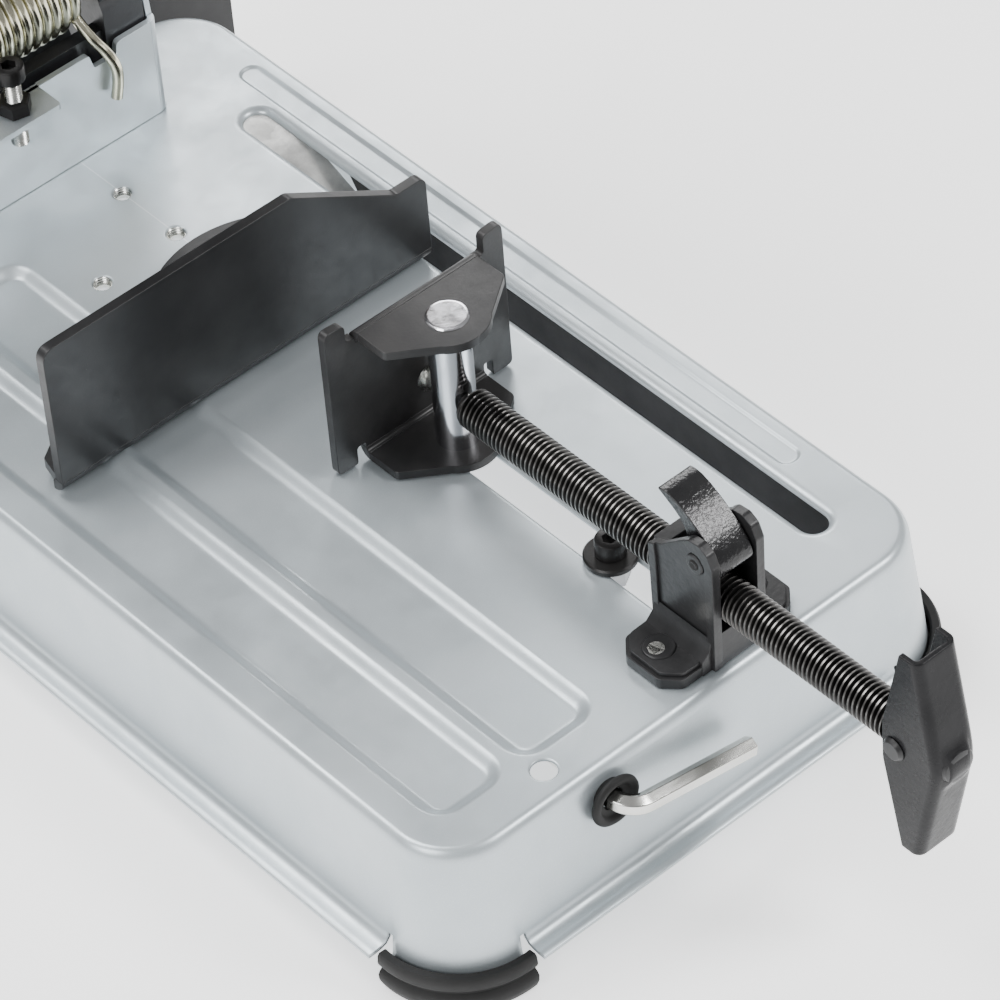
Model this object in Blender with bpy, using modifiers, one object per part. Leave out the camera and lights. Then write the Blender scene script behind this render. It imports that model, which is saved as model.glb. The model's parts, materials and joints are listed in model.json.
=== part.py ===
"""Metal cut-off saw: pressed steel base, fence, quick-release screw vise and a hinged saw head.

Units are metres, +Z up, +X right, +Y to the rear, Z = 0 on the floor.  Every piece is drawn in
the base's own frame with the head lowered; the root empty centres the object's box, and the
head's empty then lifts the head to its upper stop, which is how the saw stands at rest.
"""
import math

import bmesh
import bpy
from mathutils import Matrix, Vector

# ---------------------------------------------------------------- driving dimensions
FRAME_SHIFT = (-0.00795, 0.0118, 0.0)   # puts the bottom centre of the whole box on the origin
GAP = 0.0003                       # between pieces that touch
SHEET = 0.002                      # base sheet

TOP = 0.080                        # top face of the base above the floor
TOP_HALF = (0.1334, 0.2387)        # base half size at the shoulder
TOP_RADIUS = 0.030                 # its corner radius in plan
CORNERS = ((1, 1, 0), (-1, 1, 90), (-1, -1, 180), (1, -1, 270))   # x side, y side, first angle
SHOULDER = 0.008                   # fillet between top and wall
WALL_FOOT_Z = 0.027                # where wall turns into flange
FLANGE_Z = 0.0215
LEG_Z = 0.014                      # bottom of the corner legs
NOTCH = 0.003                      # gap between flange end and corner leg

DISC_X = 0.1001                    # plane of the cutting disc
DISC_RADIUS = 0.1775
DISC_THICKNESS = 0.003
SLOT_WIDTH = 0.013
SLOT_Y = (-0.2053, 0.1568)
VISE_X = 0.0279                    # plane of the vise screw
GUIDE_SLOT = (-0.200, -0.060)
GUIDE_SLOT_WIDTH = 0.0139
SCREW_Z = TOP + 0.0292             # axis of the vise screw
SCREW_RADIUS = 0.009
JAW_FACE_Y = -0.0404
JAW_PIN_Y = -0.0646
JAW_PIN_RADIUS = 0.0092
LEVER_PIN = (-0.2235, TOP + 0.054)  # y, z of the release lever's pin
HANDLE_Y = (-0.353, -0.343, -0.3333, -0.3236)   # web middle, web ends, rear ends, rear middle
HANDLE_HALF = (0.011, 0.0535)
RIVET_Y = -0.3305
KEY_RADIUS = 0.0046                # corner radius of the 8 mm hexagon key

FENCE_Y = 0.0276                   # face of the fence
FENCE_X = (-0.1064, 0.0948)
FENCE_SHEET = 0.005
FENCE_PIVOT_Y = 0.052
FENCE_LOCK_ANGLE = math.radians(150)
FENCE_LOCK_RADIUS = 0.040
FENCE_SWING = math.radians(45)

PIVOT = (0.216, TOP + 0.078)       # y, z of the head's hinge
ARBOR = (-0.034, TOP + 0.116)      # y, z of the disc's axis, head lowered
MOTOR = (-0.014, TOP + 0.160)      # y, z of the motor's axis, head lowered
HEAD_TRAVEL = math.radians(65)     # from raised to the place the head is drawn in
STOP_SHORT = math.radians(3)       # the head stops this far before the drawn place
BRACKET_X = (-0.046, 0.0788)
WALL_Y = (0.185, 0.188)
WALL_TOP = TOP + 0.0513
CHEEK_RIGHT = (0.053, 0.0752)
CHEEK_LEFT = (-0.0425, -0.022)
SPRING_X = (-0.014, 0.0425)
SPRING_WIRE = 0.0052
SPRING_RADIUS = 0.0234
GEAR_TEETH = (12, 48)
MOTOR_X = (-0.100, 0.0497)
CASE_X = (0.054, 0.084)
LOCK_PIN = (PIVOT[0] + 0.017, PIVOT[1] - 0.0294)

# ---------------------------------------------------------------- scene, materials, helpers
for old in list(bpy.data.objects):
    bpy.data.objects.remove(old)


def collection(name):
    made = bpy.data.collections.new(name)
    bpy.context.scene.collection.children.link(made)
    return made


PARTS = collection("cutoff_saw")
CUTTERS = collection("cutters")
PLANES = {
    "XY": Matrix.Identity(4),
    "XZ": Matrix(((1, 0, 0, 0), (0, 0, -1, 0), (0, 1, 0, 0), (0, 0, 0, 1))),
    "YZ": Matrix(((0, 0, 1, 0), (1, 0, 0, 0), (0, 1, 0, 0), (0, 0, 0, 1))),
}


def material(name, colour, roughness, metallic):
    made = bpy.data.materials.new(name)
    made.use_nodes = True
    shader = made.node_tree.nodes["Principled BSDF"]
    shader.inputs["Base Color"].default_value = (*colour, 1)
    shader.inputs["Roughness"].default_value = roughness
    shader.inputs["Metallic"].default_value = metallic
    return made


SILVER = material("silver_paint", (0.55, 0.57, 0.58), 0.35, 0.6)
BLACK = material("black_powder_coat", (0.02, 0.02, 0.022), 0.4, 0.2)
CASTING = material("black_casting", (0.03, 0.03, 0.033), 0.45, 0.3)
RUBBER = material("black_rubber", (0.015, 0.015, 0.015), 0.7, 0.0)
CHROME = material("chrome", (0.7, 0.7, 0.72), 0.12, 1.0)
ZINC = material("zinc", (0.62, 0.63, 0.6), 0.3, 1.0)
YELLOW_ZINC = material("yellow_zinc", (0.7, 0.66, 0.42), 0.25, 1.0)
OXIDE = material("black_oxide", (0.05, 0.05, 0.052), 0.35, 0.9)
PLASTIC = material("black_plastic", (0.025, 0.025, 0.027), 0.5, 0.0)
GREY_PLASTIC = material("grey_plastic", (0.22, 0.22, 0.23), 0.5, 0.0)
ABRASIVE = material("abrasive", (0.06, 0.045, 0.035), 0.85, 0.0)
STEEL = material("steel", (0.45, 0.45, 0.46), 0.35, 1.0)
COPPER = material("copper", (0.7, 0.35, 0.18), 0.4, 0.9)


class Pivot:
    """An empty on a joint's axis; what hangs on it is drawn in the base's frame."""

    def __init__(self, name, point, parent=None, turn=0.0):
        self.point = Vector(point)
        self.empty = bpy.data.objects.new(name, None)
        PARTS.objects.link(self.empty)
        self.empty.rotation_euler.x = turn
        if parent is None:
            self.empty.location = self.point
        else:
            self.empty.parent = parent.empty
            self.empty.location = self.point - parent.point

    def hang(self, obj):
        obj.parent = self.empty
        obj.matrix_parent_inverse = Matrix.Translation(-self.point)
        return obj


def mesh_object(name, bm, look, pivot, smooth=False):
    bmesh.ops.recalc_face_normals(bm, faces=bm.faces)
    mesh = bpy.data.meshes.new(name)
    bm.to_mesh(mesh)
    bm.free()
    obj = bpy.data.objects.new(name, mesh)
    if look is None:
        CUTTERS.objects.link(obj)
        obj.hide_render = True
        obj.display_type = "WIRE"
    else:
        PARTS.objects.link(obj)
        mesh.materials.append(look)
    if smooth:
        mesh.shade_smooth()
        mesh.set_sharp_from_angle(angle=math.radians(35))
    return pivot.hang(obj)


def add_box(bm, low, high):
    low, high = Vector(low), Vector(high)
    size = high - low
    place = Matrix.Translation((low + high) / 2) @ Matrix.Diagonal((*size, 1))
    bmesh.ops.create_cube(bm, size=1.0, matrix=place)


def add_cylinder(bm, start, end, radius, sides=24, radius_end=None, twist=0.0):
    start, end = Vector(start), Vector(end)
    span = end - start
    turn = Vector((0, 0, 1)).rotation_difference(span).to_matrix().to_4x4()
    place = Matrix.Translation((start + end) / 2) @ turn @ Matrix.Rotation(twist, 4, "Z")
    far = radius if radius_end is None else radius_end
    bmesh.ops.create_cone(bm, cap_ends=True, segments=sides, radius1=radius, radius2=far,
                          depth=span.length, matrix=place)


def box(name, low, high, look, pivot):
    bm = bmesh.new()
    add_box(bm, low, high)
    return mesh_object(name, bm, look, pivot)


def cylinder(name, start, end, radius, look, pivot, sides=24):
    bm = bmesh.new()
    add_cylinder(bm, start, end, radius, sides)
    return mesh_object(name, bm, look, pivot, smooth=True)


def curve_to_mesh(curve_obj):
    """Turns a curve object into a closed bmesh in its own coordinates, caps welded."""
    PARTS.objects.link(curve_obj)
    graph = bpy.context.evaluated_depsgraph_get()
    mesh = bpy.data.meshes.new_from_object(curve_obj.evaluated_get(graph))
    bm = bmesh.new()
    bm.from_mesh(mesh)
    bmesh.ops.remove_doubles(bm, verts=bm.verts, dist=1e-5)
    bpy.data.objects.remove(curve_obj)
    return bm


def outline_bm(loops, low, high, plane):
    """A flat outline, holes as further loops, extruded from low to high across its plane."""
    curve = bpy.data.curves.new("outline", "CURVE")
    curve.dimensions = "2D"
    curve.fill_mode = "BOTH"
    curve.extrude = abs(high - low) / 2
    for points in loops:
        spline = curve.splines.new("POLY")
        spline.points.add(len(points) - 1)
        for slot, (u, v) in zip(spline.points, points):
            slot.co = (u, v, 0, 1)
        spline.use_cyclic_u = True
    bm = curve_to_mesh(bpy.data.objects.new("outline", curve))
    middle = (low + high) / 2 * (-1 if plane == "XZ" else 1)
    bmesh.ops.transform(bm, matrix=PLANES[plane] @ Matrix.Translation((0, 0, middle)), verts=bm.verts)
    return bm


def outline(name, loops, low, high, plane, look, pivot, smooth=False):
    return mesh_object(name, outline_bm(loops, low, high, plane), look, pivot, smooth)


def wire(name, points, radius, look, pivot, sides=2):
    curve = bpy.data.curves.new(name, "CURVE")
    curve.dimensions = "3D"
    curve.bevel_depth = radius
    curve.bevel_resolution = sides
    curve.use_fill_caps = True
    spline = curve.splines.new("POLY")
    spline.points.add(len(points) - 1)
    for slot, point in zip(spline.points, points):
        slot.co = (*point, 1)
    return mesh_object(name, curve_to_mesh(bpy.data.objects.new(name, curve)), look, pivot, smooth=True)


def boolean(obj, other, operation):
    step = obj.modifiers.new(operation.lower(), "BOOLEAN")
    step.operation = operation
    step.object = other
    step.solver = "EXACT"


def cut(obj, *cutters):
    for cutter in cutters:
        boolean(obj, cutter, "DIFFERENCE")
    return obj


def join(obj, *others):
    """Unites helper solids, which are left out of the build, into one piece."""
    for other in others:
        boolean(obj, other, "UNION")
    return obj


def arc(centre, radius, start, end, steps):
    """Points on an arc, angles in degrees."""
    angles = [math.radians(start + (end - start) * i / steps) for i in range(steps + 1)]
    return [(centre[0] + radius * math.cos(a), centre[1] + radius * math.sin(a)) for a in angles]


def circle(centre, radius, steps=24):
    return arc(centre, radius, 0, 360 - 360 / steps, steps - 1)


def hull_of_circles(first, r1, second, r2, steps=10):
    """Outline around two circles, given as centres and radii."""
    dx, dy = second[0] - first[0], second[1] - first[1]
    heading = math.degrees(math.atan2(dy, dx))
    lean = math.degrees(math.acos((r1 - r2) / math.hypot(dx, dy)))
    near = arc(first, r1, heading + lean, heading + 360 - lean, steps)
    far = arc(second, r2, heading - lean, heading + lean, steps)
    return near + far


def stadium(x, width, y_range, steps=8):
    """Slot outline along Y."""
    r = width / 2
    front = arc((x, y_range[0] + r), r, 180, 360, steps)
    rear = arc((x, y_range[1] - r), r, 0, 180, steps)
    return front + rear


def rounded_box_outline(low, high, radius, steps=3):
    corners = ((high[0] - radius, high[1] - radius, 0), (low[0] + radius, high[1] - radius, 90),
               (low[0] + radius, low[1] + radius, 180), (high[0] - radius, low[1] + radius, 270))
    points = []
    for x, y, start in corners:
        points += arc((x, y), radius, start, start + 90, steps)
    return points


ROOT = Pivot("saw_frame", (0, 0, 0))
ROOT.empty.location = FRAME_SHIFT


# ---------------------------------------------------------------- base
def base_ring(offset, z, radius_offset=None):
    """One level of the base's outline: 36 points, corner by corner from the rear right."""
    grow = offset if radius_offset is None else radius_offset
    points = []
    for sx, sy, start in CORNERS:
        cx = sx * (TOP_HALF[0] - TOP_RADIUS)
        cy = sy * (TOP_HALF[1] - TOP_RADIUS)
        bend = arc((cx, cy), TOP_RADIUS + grow, start, start + 90, 6)
        into = Vector((math.sin(math.radians(start)), -math.cos(math.radians(start)))) * NOTCH
        out = Vector((-math.cos(math.radians(start)), -math.sin(math.radians(start)))) * NOTCH
        points.append((bend[0][0] + into.x, bend[0][1] + into.y, z))
        points += [(x, y, z) for x, y in bend]
        points.append((bend[-1][0] + out.x, bend[-1][1] + out.y, z))
    return points


CHANNELS = (((-0.0653, -0.0366), (-0.209, 0.150), 0.0035), ((-0.1095, -0.0842), (-0.209, 0.150), 0.0035),
            ((0.1145, 0.1225), (-0.168, 0.180), 0.0010))


def make_base():
    bm = bmesh.new()

    def ring(points):
        return [bm.verts.new(p) for p in points]

    def skin(upper, lower, start=0, stop=None):
        count = len(upper)
        for i in range(start, stop if stop is not None else count):
            j = (i + 1) % count
            bm.faces.new((upper[i], lower[i], lower[j], upper[j]))

    corner = [math.radians(a) for a in (0, 30, 60, 90)]
    levels = [(-SHOULDER * 0.62 + SHOULDER * 0.62 * math.sin(a), TOP - SHOULDER * (1 - math.cos(a)))
              for a in corner]
    rings = [ring(base_ring(offset, z)) for offset, z in levels]
    foot = ring(base_ring(0.0052, WALL_FOOT_Z))
    for upper, lower in zip(rings, rings[1:] + [foot]):
        skin(upper, lower)
    turn = ring(base_ring(0.0085, FLANGE_Z + 0.0015))
    lip = ring(base_ring(0.0157, FLANGE_Z))
    leg = ring(base_ring(0.0068, LEG_Z))
    per_corner = 9
    for k in range(4):
        straight = k * per_corner + per_corner - 1
        for upper, lower in ((foot, turn), (turn, lip)):
            skin(upper, lower, straight, straight + 1)
        skin(foot, leg, k * per_corner + 1, k * per_corner + per_corner - 2)
    top_edges = [bm.edges.get((rings[0][i], rings[0][(i + 1) % 36])) for i in range(36)]
    for (x0, x1), (y0, y1), depth in CHANNELS:
        slope = depth * 2.2
        crest = ring([(x, y, TOP) for x, y in
                      rounded_box_outline((x0 - slope, y0 - slope), (x1 + slope, y1 + slope), 0.004 + slope)])
        floor = ring([(x, y, TOP - depth) for x, y in
                      rounded_box_outline((x0, y0), (x1, y1), 0.004)])
        skin(crest, floor)
        bm.faces.new(floor)
        top_edges += [bm.edges.get((crest[i], crest[(i + 1) % len(crest)])) for i in range(len(crest))]
    bmesh.ops.triangle_fill(bm, edges=top_edges, normal=(0, 0, 1), use_beauty=True)
    bmesh.ops.delete(bm, geom=[v for v in bm.verts if not v.link_faces], context="VERTS")
    pan = mesh_object("base_pan", bm, SILVER, ROOT, smooth=True)
    shell = pan.modifiers.new("sheet", "SOLIDIFY")
    shell.thickness = SHEET
    shell.offset = -1
    shell.use_even_offset = True
    slots = outline("slot_cutter", [stadium(DISC_X, SLOT_WIDTH, SLOT_Y)], TOP - 0.01, TOP + 0.01, "XY",
                    None, ROOT)
    guide = outline("guide_cutter", [stadium(VISE_X, GUIDE_SLOT_WIDTH, GUIDE_SLOT)], TOP - 0.01, TOP + 0.01,
                    "XY", None, ROOT)
    bm = bmesh.new()
    for x, y, radius in PLATE_HOLES:
        add_cylinder(bm, (x, y, TOP - 0.01), (x, y, TOP + 0.01), radius, 16)
    add_cylinder(bm, (KEY_HOLE[0], -0.26, KEY_HOLE[1]), (KEY_HOLE[0], -0.22, KEY_HOLE[1]), 0.0085, 20)
    for x in DEFLECTOR_SCREW_X:
        add_cylinder(bm, (x, 0.225, DEFLECTOR_SCREW_Z), (x, 0.26, DEFLECTOR_SCREW_Z), 0.0034, 12)
    holes = mesh_object("hole_cutter", bm, None, ROOT)
    return cut(pan, slots, guide, holes)


THREADED_HOLES = ((0.0281, 0.1561), (0.0281, 0.1194), (-0.0141, 0.1175))
FRONT_HOLE = (-0.0683, -0.2233)
VISE_BOLTS = ((0.0017, -0.2123), (0.0541, -0.2123))
BRACKET_BOLTS = tuple((x, y) for x in (-0.030, 0.063) for y in (0.200, 0.222))
FENCE_LOCK = (VISE_X + FENCE_LOCK_RADIUS * math.cos(FENCE_LOCK_ANGLE),
              FENCE_PIVOT_Y + FENCE_LOCK_RADIUS * math.sin(FENCE_LOCK_ANGLE))
STOP_SCREW_Y = -0.157
KEY_HOLE = (-0.0502, TOP - 0.016)
DEFLECTOR_SCREW_X = (0.060, 0.120)
DEFLECTOR_SCREW_Z = TOP - 0.035
PLATE_HOLES = ([(x, y, 0.0043) for x, y in THREADED_HOLES] + [(*FRONT_HOLE, 0.0055)]
               + [(x, y, 0.0043) for x, y in VISE_BOLTS + BRACKET_BOLTS]
               + [(VISE_X, FENCE_PIVOT_Y, 0.0043), (*FENCE_LOCK, 0.0043)])


def make_feet():
    section = ((0.026, 0), (0.0405, 0), (0.0425, 0.004), (0.0423, 0.020), (0.0376, 0.020),
               (0.0374, LEG_Z - GAP), (0.0322, LEG_Z - GAP), (0.0322, 0.019), (0.0265, 0.019))
    names = ("foot_rear_right", "foot_rear_left", "foot_front_left", "foot_front_right")
    for name, (sx, sy, start) in zip(names, CORNERS):
        bm = bmesh.new()
        cx = sx * (TOP_HALF[0] - TOP_RADIUS)
        cy = sy * (TOP_HALF[1] - TOP_RADIUS)
        rings = []
        for i in range(9):
            a = math.radians(start - 3 + 96 * i / 8)
            rings.append([bm.verts.new((cx + r * math.cos(a), cy + r * math.sin(a), z)) for r, z in section])
        for first, second in zip(rings, rings[1:]):
            for i in range(len(section)):
                j = (i + 1) % len(section)
                bm.faces.new((first[i], second[i], second[j], first[j]))
        bm.faces.new(rings[0])
        bm.faces.new(rings[-1])
        mesh_object(name, bm, RUBBER, ROOT, smooth=True)


def make_chute():
    """Curved ramp under the rear end of the disc slot that throws sparks down."""
    path = ((0.162, -0.0023), (0.134, -0.0026), (0.122, -0.0045), (0.112, -0.0088), (0.0966, -0.0155),
            (0.082, -0.028), (0.070, -0.044), (0.064, -0.056))
    thick = 0.0015
    lower = [(y + thick * 0.5, TOP + z - thick) for y, z in reversed(path)]
    points = [(y, TOP + z) for y, z in path] + lower
    outline("spark_chute", [points], DISC_X - 0.013, DISC_X + 0.010, "YZ", STEEL, ROOT)


def make_rear_bracket():
    x0, x1 = BRACKET_X
    sheet = 0.003
    wall = ((x0, TOP + GAP), (x1, TOP + GAP), (x1, WALL_TOP), (0.0555, WALL_TOP), (0.0545, WALL_TOP - 0.0065),
            (0.0425, WALL_TOP - 0.0065), (0.0405, WALL_TOP + 0.0016), (0.013, WALL_TOP + 0.0016),
            (0.013, TOP + 0.0525), (x0, TOP + 0.0525))
    bracket = outline("rear_bracket", [wall], WALL_Y[0], WALL_Y[1], "XZ", SILVER, ROOT)
    side = ([(WALL_Y[0] + 0.001, TOP + GAP), (0.232, TOP + GAP), (0.243, TOP + 0.012), (0.243, PIVOT[1])]
            + arc(PIVOT, 0.024, 20, 160, 6) + [(WALL_Y[0] + 0.001, WALL_TOP - 0.001)])
    bodies = [outline("side_plate", [side], low, low + sheet, "YZ", None, ROOT) for low in (x0, x1 - sheet)]
    bm = bmesh.new()
    add_box(bm, (x0 + 0.001, WALL_Y[0] + 0.001, TOP + GAP), (x1 - 0.001, 0.231, TOP + GAP + sheet))
    bodies.append(mesh_object("bracket_floor", bm, None, ROOT))
    bm = bmesh.new()
    add_box(bm, (x0, 0.1695, TOP + 0.0495), (0.013, WALL_Y[1], TOP + 0.0525))
    bodies.append(mesh_object("stop_tab", bm, None, ROOT))
    join(bracket, *bodies)
    bm = bmesh.new()
    for x, y in BRACKET_BOLTS:
        add_cylinder(bm, (x, y, TOP - 0.002), (x, y, TOP + 0.01), 0.0043, 16)
    add_cylinder(bm, (STOP_BOLT[0], STOP_BOLT[1], TOP + 0.04), (STOP_BOLT[0], STOP_BOLT[1], TOP + 0.06),
                 0.0043, 16)
    add_cylinder(bm, (-0.06, PIVOT[0], PIVOT[1]), (0.09, PIVOT[0], PIVOT[1]), 0.0093, 24)
    add_cylinder(bm, (-0.06, *LOCK_PIN), (-0.035, *LOCK_PIN), 0.0043, 16)
    cut(bracket, mesh_object("bracket_holes", bm, None, ROOT))


STOP_BOLT = (-0.004, 0.1795)


def hex_bolt(name, place, head_z, shank_bottom, look, pivot):
    """Vertical M8 hex-head bolt whose head stands on head_z."""
    x, y = place
    bm = bmesh.new()
    add_cylinder(bm, (x, y, head_z), (x, y, head_z + 0.0055), 0.0075, 6)
    bolt = mesh_object(name, bm, look, pivot)
    bm = bmesh.new()
    add_cylinder(bm, (x, y, shank_bottom), (x, y, head_z + 0.001), 0.004, 16)
    return join(bolt, mesh_object(name + "_shank", bm, None, pivot))


def make_base_fittings():
    x, y = STOP_BOLT
    bm = bmesh.new()
    add_cylinder(bm, (x, y, TOP + 0.035), (x, y, TOP + 0.0715), 0.004, 16)
    bolt = mesh_object("depth_stop_bolt", bm, OXIDE, STOP, smooth=True)
    bm = bmesh.new()
    add_cylinder(bm, (x, y, TOP + 0.0710), (x, y, TOP + 0.0785), 0.0065, 20)
    join(bolt, mesh_object("depth_stop_head", bm, None, STOP))
    bm = bmesh.new()
    add_cylinder(bm, (x, y, TOP + 0.0528), (x, y, TOP + 0.0600), 0.0075, 6)
    nut = mesh_object("depth_stop_nut", bm, OXIDE, ROOT)
    bm = bmesh.new()
    add_cylinder(bm, (x, y, TOP + 0.05), (x, y, TOP + 0.062), 0.0043, 16)
    cut(nut, mesh_object("nut_bore", bm, None, ROOT))


def make_hinge():
    y, z = PIVOT
    shaft = cylinder("hinge_shaft", (-0.058, y, z), (0.082, y, z), 0.009, ZINC, ROOT)
    head = cylinder("hinge_shaft_head", (BRACKET_X[1] + GAP, y, z), (0.0875, y, z), 0.0145, None, ROOT, 6)
    join(shaft, head)
    nut = cylinder("hinge_shaft_nut", (-0.0535, y, z), (BRACKET_X[0] - GAP, y, z), 0.0145, ZINC, ROOT, 6)
    tube = cylinder("spring_guide_tube", (-0.0190, y, z), (0.0520, y, z), 0.0175, STEEL, ROOT)
    bore = cylinder("hinge_bore", (-0.07, y, z), (0.07, y, z), 0.0093, None, ROOT)
    cut(nut, bore)
    cut(tube, bore)


def make_spring():
    """Torsion spring round the hinge; its right leg drops over the bracket's notch."""
    y, z = PIVOT
    turns = 11
    start = math.radians(205)
    points = []
    steps = turns * 12
    for i in range(steps + 1):
        a = start + math.radians(30) * i
        x = SPRING_X[0] + (SPRING_X[1] - SPRING_X[0]) * i / steps
        points.append((x, y + SPRING_RADIUS * math.cos(a), z + SPRING_RADIUS * math.sin(a)))
    leg = [(0.0437, 0.1905, TOP + 0.0625), (0.0457, 0.1870, TOP + 0.0570), (0.0485, 0.1848, TOP + 0.0515),
           (0.0505, 0.1820, TOP + 0.0455), (0.0510, 0.1807, TOP + 0.0400), (0.0503, 0.1804, TOP + 0.0340),
           (0.0487, 0.1804, TOP + 0.0272)]
    wire("return_spring", points + leg, SPRING_WIRE / 2, YELLOW_ZINC, ROOT)


def make_fence():
    x0, x1 = FENCE_X
    face = ([(x0, TOP + 0.0055), (x1, TOP + 0.0055)]
            + arc((x1 - 0.004, TOP + 0.043), 0.004, 0, 90, 3)
            + [(0.0787, TOP + 0.047), (0.0243, TOP + 0.080)]
            + arc((x0 + 0.005, TOP + 0.075), 0.005, 90, 180, 3))
    fence = outline("fence", [face], FENCE_Y, FENCE_Y + FENCE_SHEET, "XZ", BLACK, FENCE)
    foot = [(x0, FENCE_Y), (x1, FENCE_Y), (x1, FENCE_Y + 0.025)]
    spread = math.degrees(math.asin((FENCE_Y + 0.025 - FENCE_PIVOT_Y) / 0.054))
    foot += arc((VISE_X, FENCE_PIVOT_Y), 0.054, spread, 180 - spread, 14)
    foot += [(x0 + 0.014, FENCE_Y + 0.025), (x0 + 0.005, FENCE_Y + 0.019)]
    base = outline("fence_foot", [foot], TOP + GAP, TOP + 0.0058, "XY", None, FENCE)
    bm = bmesh.new()
    add_cylinder(bm, (VISE_X, FENCE_PIVOT_Y, TOP - 0.01), (VISE_X, FENCE_PIVOT_Y, TOP + 0.01), 0.0043, 16)
    hole = mesh_object("fence_pivot_hole", bm, None, FENCE)
    # the lock bolt stays still while the fence swings back, so its slot leads it by that swing
    start = math.degrees(FENCE_LOCK_ANGLE) - 7
    stop = start + math.degrees(FENCE_SWING) + 14
    centre = (VISE_X, FENCE_PIVOT_Y)
    half = 0.0046
    arc_slot = (arc(centre, FENCE_LOCK_RADIUS + half, start, stop, 8)
                + arc(centre, FENCE_LOCK_RADIUS - half, stop, start, 8))
    slot = outline("fence_slot", [arc_slot], TOP - 0.01, TOP + 0.01, "XY", None, FENCE)
    join(fence, base)
    cut(fence, hole, slot)


def make_fence_bolts():
    for name, (x, y) in (("pivot", (VISE_X, FENCE_PIVOT_Y)), ("lock", FENCE_LOCK)):
        washer = cylinder(f"fence_{name}_washer", (x, y, TOP + 0.0061), (x, y, TOP + 0.0077), 0.0085,
                          ZINC, ROOT, 20)
        cut(washer, cylinder(f"fence_{name}_bore", (x, y, TOP), (x, y, TOP + 0.01), 0.0043, None, ROOT, 16))
        hex_bolt(f"fence_{name}_bolt", (x, y), TOP + 0.0080, TOP - 0.012, ZINC, ROOT)


# ---------------------------------------------------------------- vise
def make_jaw():
    back = (JAW_FACE_Y - 0.0043, JAW_FACE_Y)
    x0, x1 = VISE_X - 0.04775, VISE_X + 0.04775
    ear0, ear1 = VISE_X - 0.0324, VISE_X + 0.0324
    low, ear_top, horn = TOP + 0.001, TOP + 0.0724, TOP + 0.0794
    notch = 0.0045
    plate = ((x0, low), (ear0 - notch, low), (ear0 - notch, low + 0.009), (ear0, low + 0.009), (ear0, low),
             (ear1, low), (ear1, low + 0.009), (ear1 + notch, low + 0.009), (ear1 + notch, low), (x1, low),
             (x1, horn), (ear1 + notch, horn - 0.001), (ear1 + notch, TOP + 0.068), (ear1, TOP + 0.068),
             (ear1, ear_top), (ear0, ear_top), (ear0, TOP + 0.068), (ear0 - notch, TOP + 0.068),
             (ear0 - notch, horn - 0.001), (x0, horn))
    jaw = outline("vise_jaw", [plate], back[0], back[1], "XZ", BLACK, JAW)
    nose = arc((VISE_X, JAW_PIN_Y), 0.0182, 220, 320, 7)
    ear = [(ear1, back[1] - 0.001), (ear0, back[1] - 0.001), (ear0, JAW_PIN_Y)] + nose + [(ear1, JAW_PIN_Y)]
    ears = [outline("jaw_ear", [ear], z, z + 0.0043, "XY", None, JAW) for z in (low, ear_top - 0.0043)]
    join(jaw, *ears)
    bm = bmesh.new()
    add_cylinder(bm, (VISE_X, JAW_PIN_Y, TOP - 0.01), (VISE_X, JAW_PIN_Y, TOP + 0.1), JAW_PIN_RADIUS + GAP, 28)
    cut(jaw, mesh_object("jaw_bore", bm, None, JAW))


def make_jaw_pin():
    bm = bmesh.new()
    add_cylinder(bm, (VISE_X, JAW_PIN_Y, TOP + 0.0007), (VISE_X, JAW_PIN_Y, TOP + 0.0732), JAW_PIN_RADIUS, 28)
    pin = mesh_object("jaw_pin", bm, CHROME, SLIDE, smooth=True)
    bm = bmesh.new()
    add_cylinder(bm, (VISE_X, JAW_PIN_Y - 0.02, SCREW_Z), (VISE_X, JAW_PIN_Y + 0.02, SCREW_Z), 0.0053, 20)
    cut(pin, mesh_object("pin_cross_hole", bm, None, SLIDE))


def make_spindle():
    y_start = JAW_PIN_Y - JAW_PIN_RADIUS - GAP
    bm = bmesh.new()
    add_cylinder(bm, (VISE_X, HANDLE_Y[3] + GAP, SCREW_Z), (VISE_X, y_start, SCREW_Z), SCREW_RADIUS, 28)
    spindle = mesh_object("vise_spindle", bm, OXIDE, SPINDLE, smooth=True)
    bm = bmesh.new()
    add_cylinder(bm, (VISE_X, y_start - 0.002, SCREW_Z), (VISE_X, JAW_PIN_Y + 0.0115, SCREW_Z), 0.0050, 16)
    nose = mesh_object("spindle_nose", bm, None, SPINDLE)
    # the end is riveted over behind the jaw pin
    rear = JAW_PIN_Y + JAW_PIN_RADIUS + GAP
    stud = cylinder("spindle_riveted_end", (VISE_X, rear, SCREW_Z), (VISE_X, rear + 0.0042, SCREW_Z), 0.0068, None,
                    SPINDLE, 16)
    bm = bmesh.new()
    add_cylinder(bm, (VISE_X, HANDLE_Y[0] - 0.0022, SCREW_Z), (VISE_X, HANDLE_Y[3] + 0.001, SCREW_Z), 0.0079, 24)
    seat = mesh_object("spindle_seat", bm, None, SPINDLE)
    join(spindle, nose, stud, seat)
    bm = bmesh.new()
    add_cylinder(bm, (VISE_X - 0.02, RIVET_Y, SCREW_Z), (VISE_X + 0.02, RIVET_Y, SCREW_Z), 0.0038, 16)
    cut(spindle, mesh_object("rivet_hole", bm, None, SPINDLE))


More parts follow.
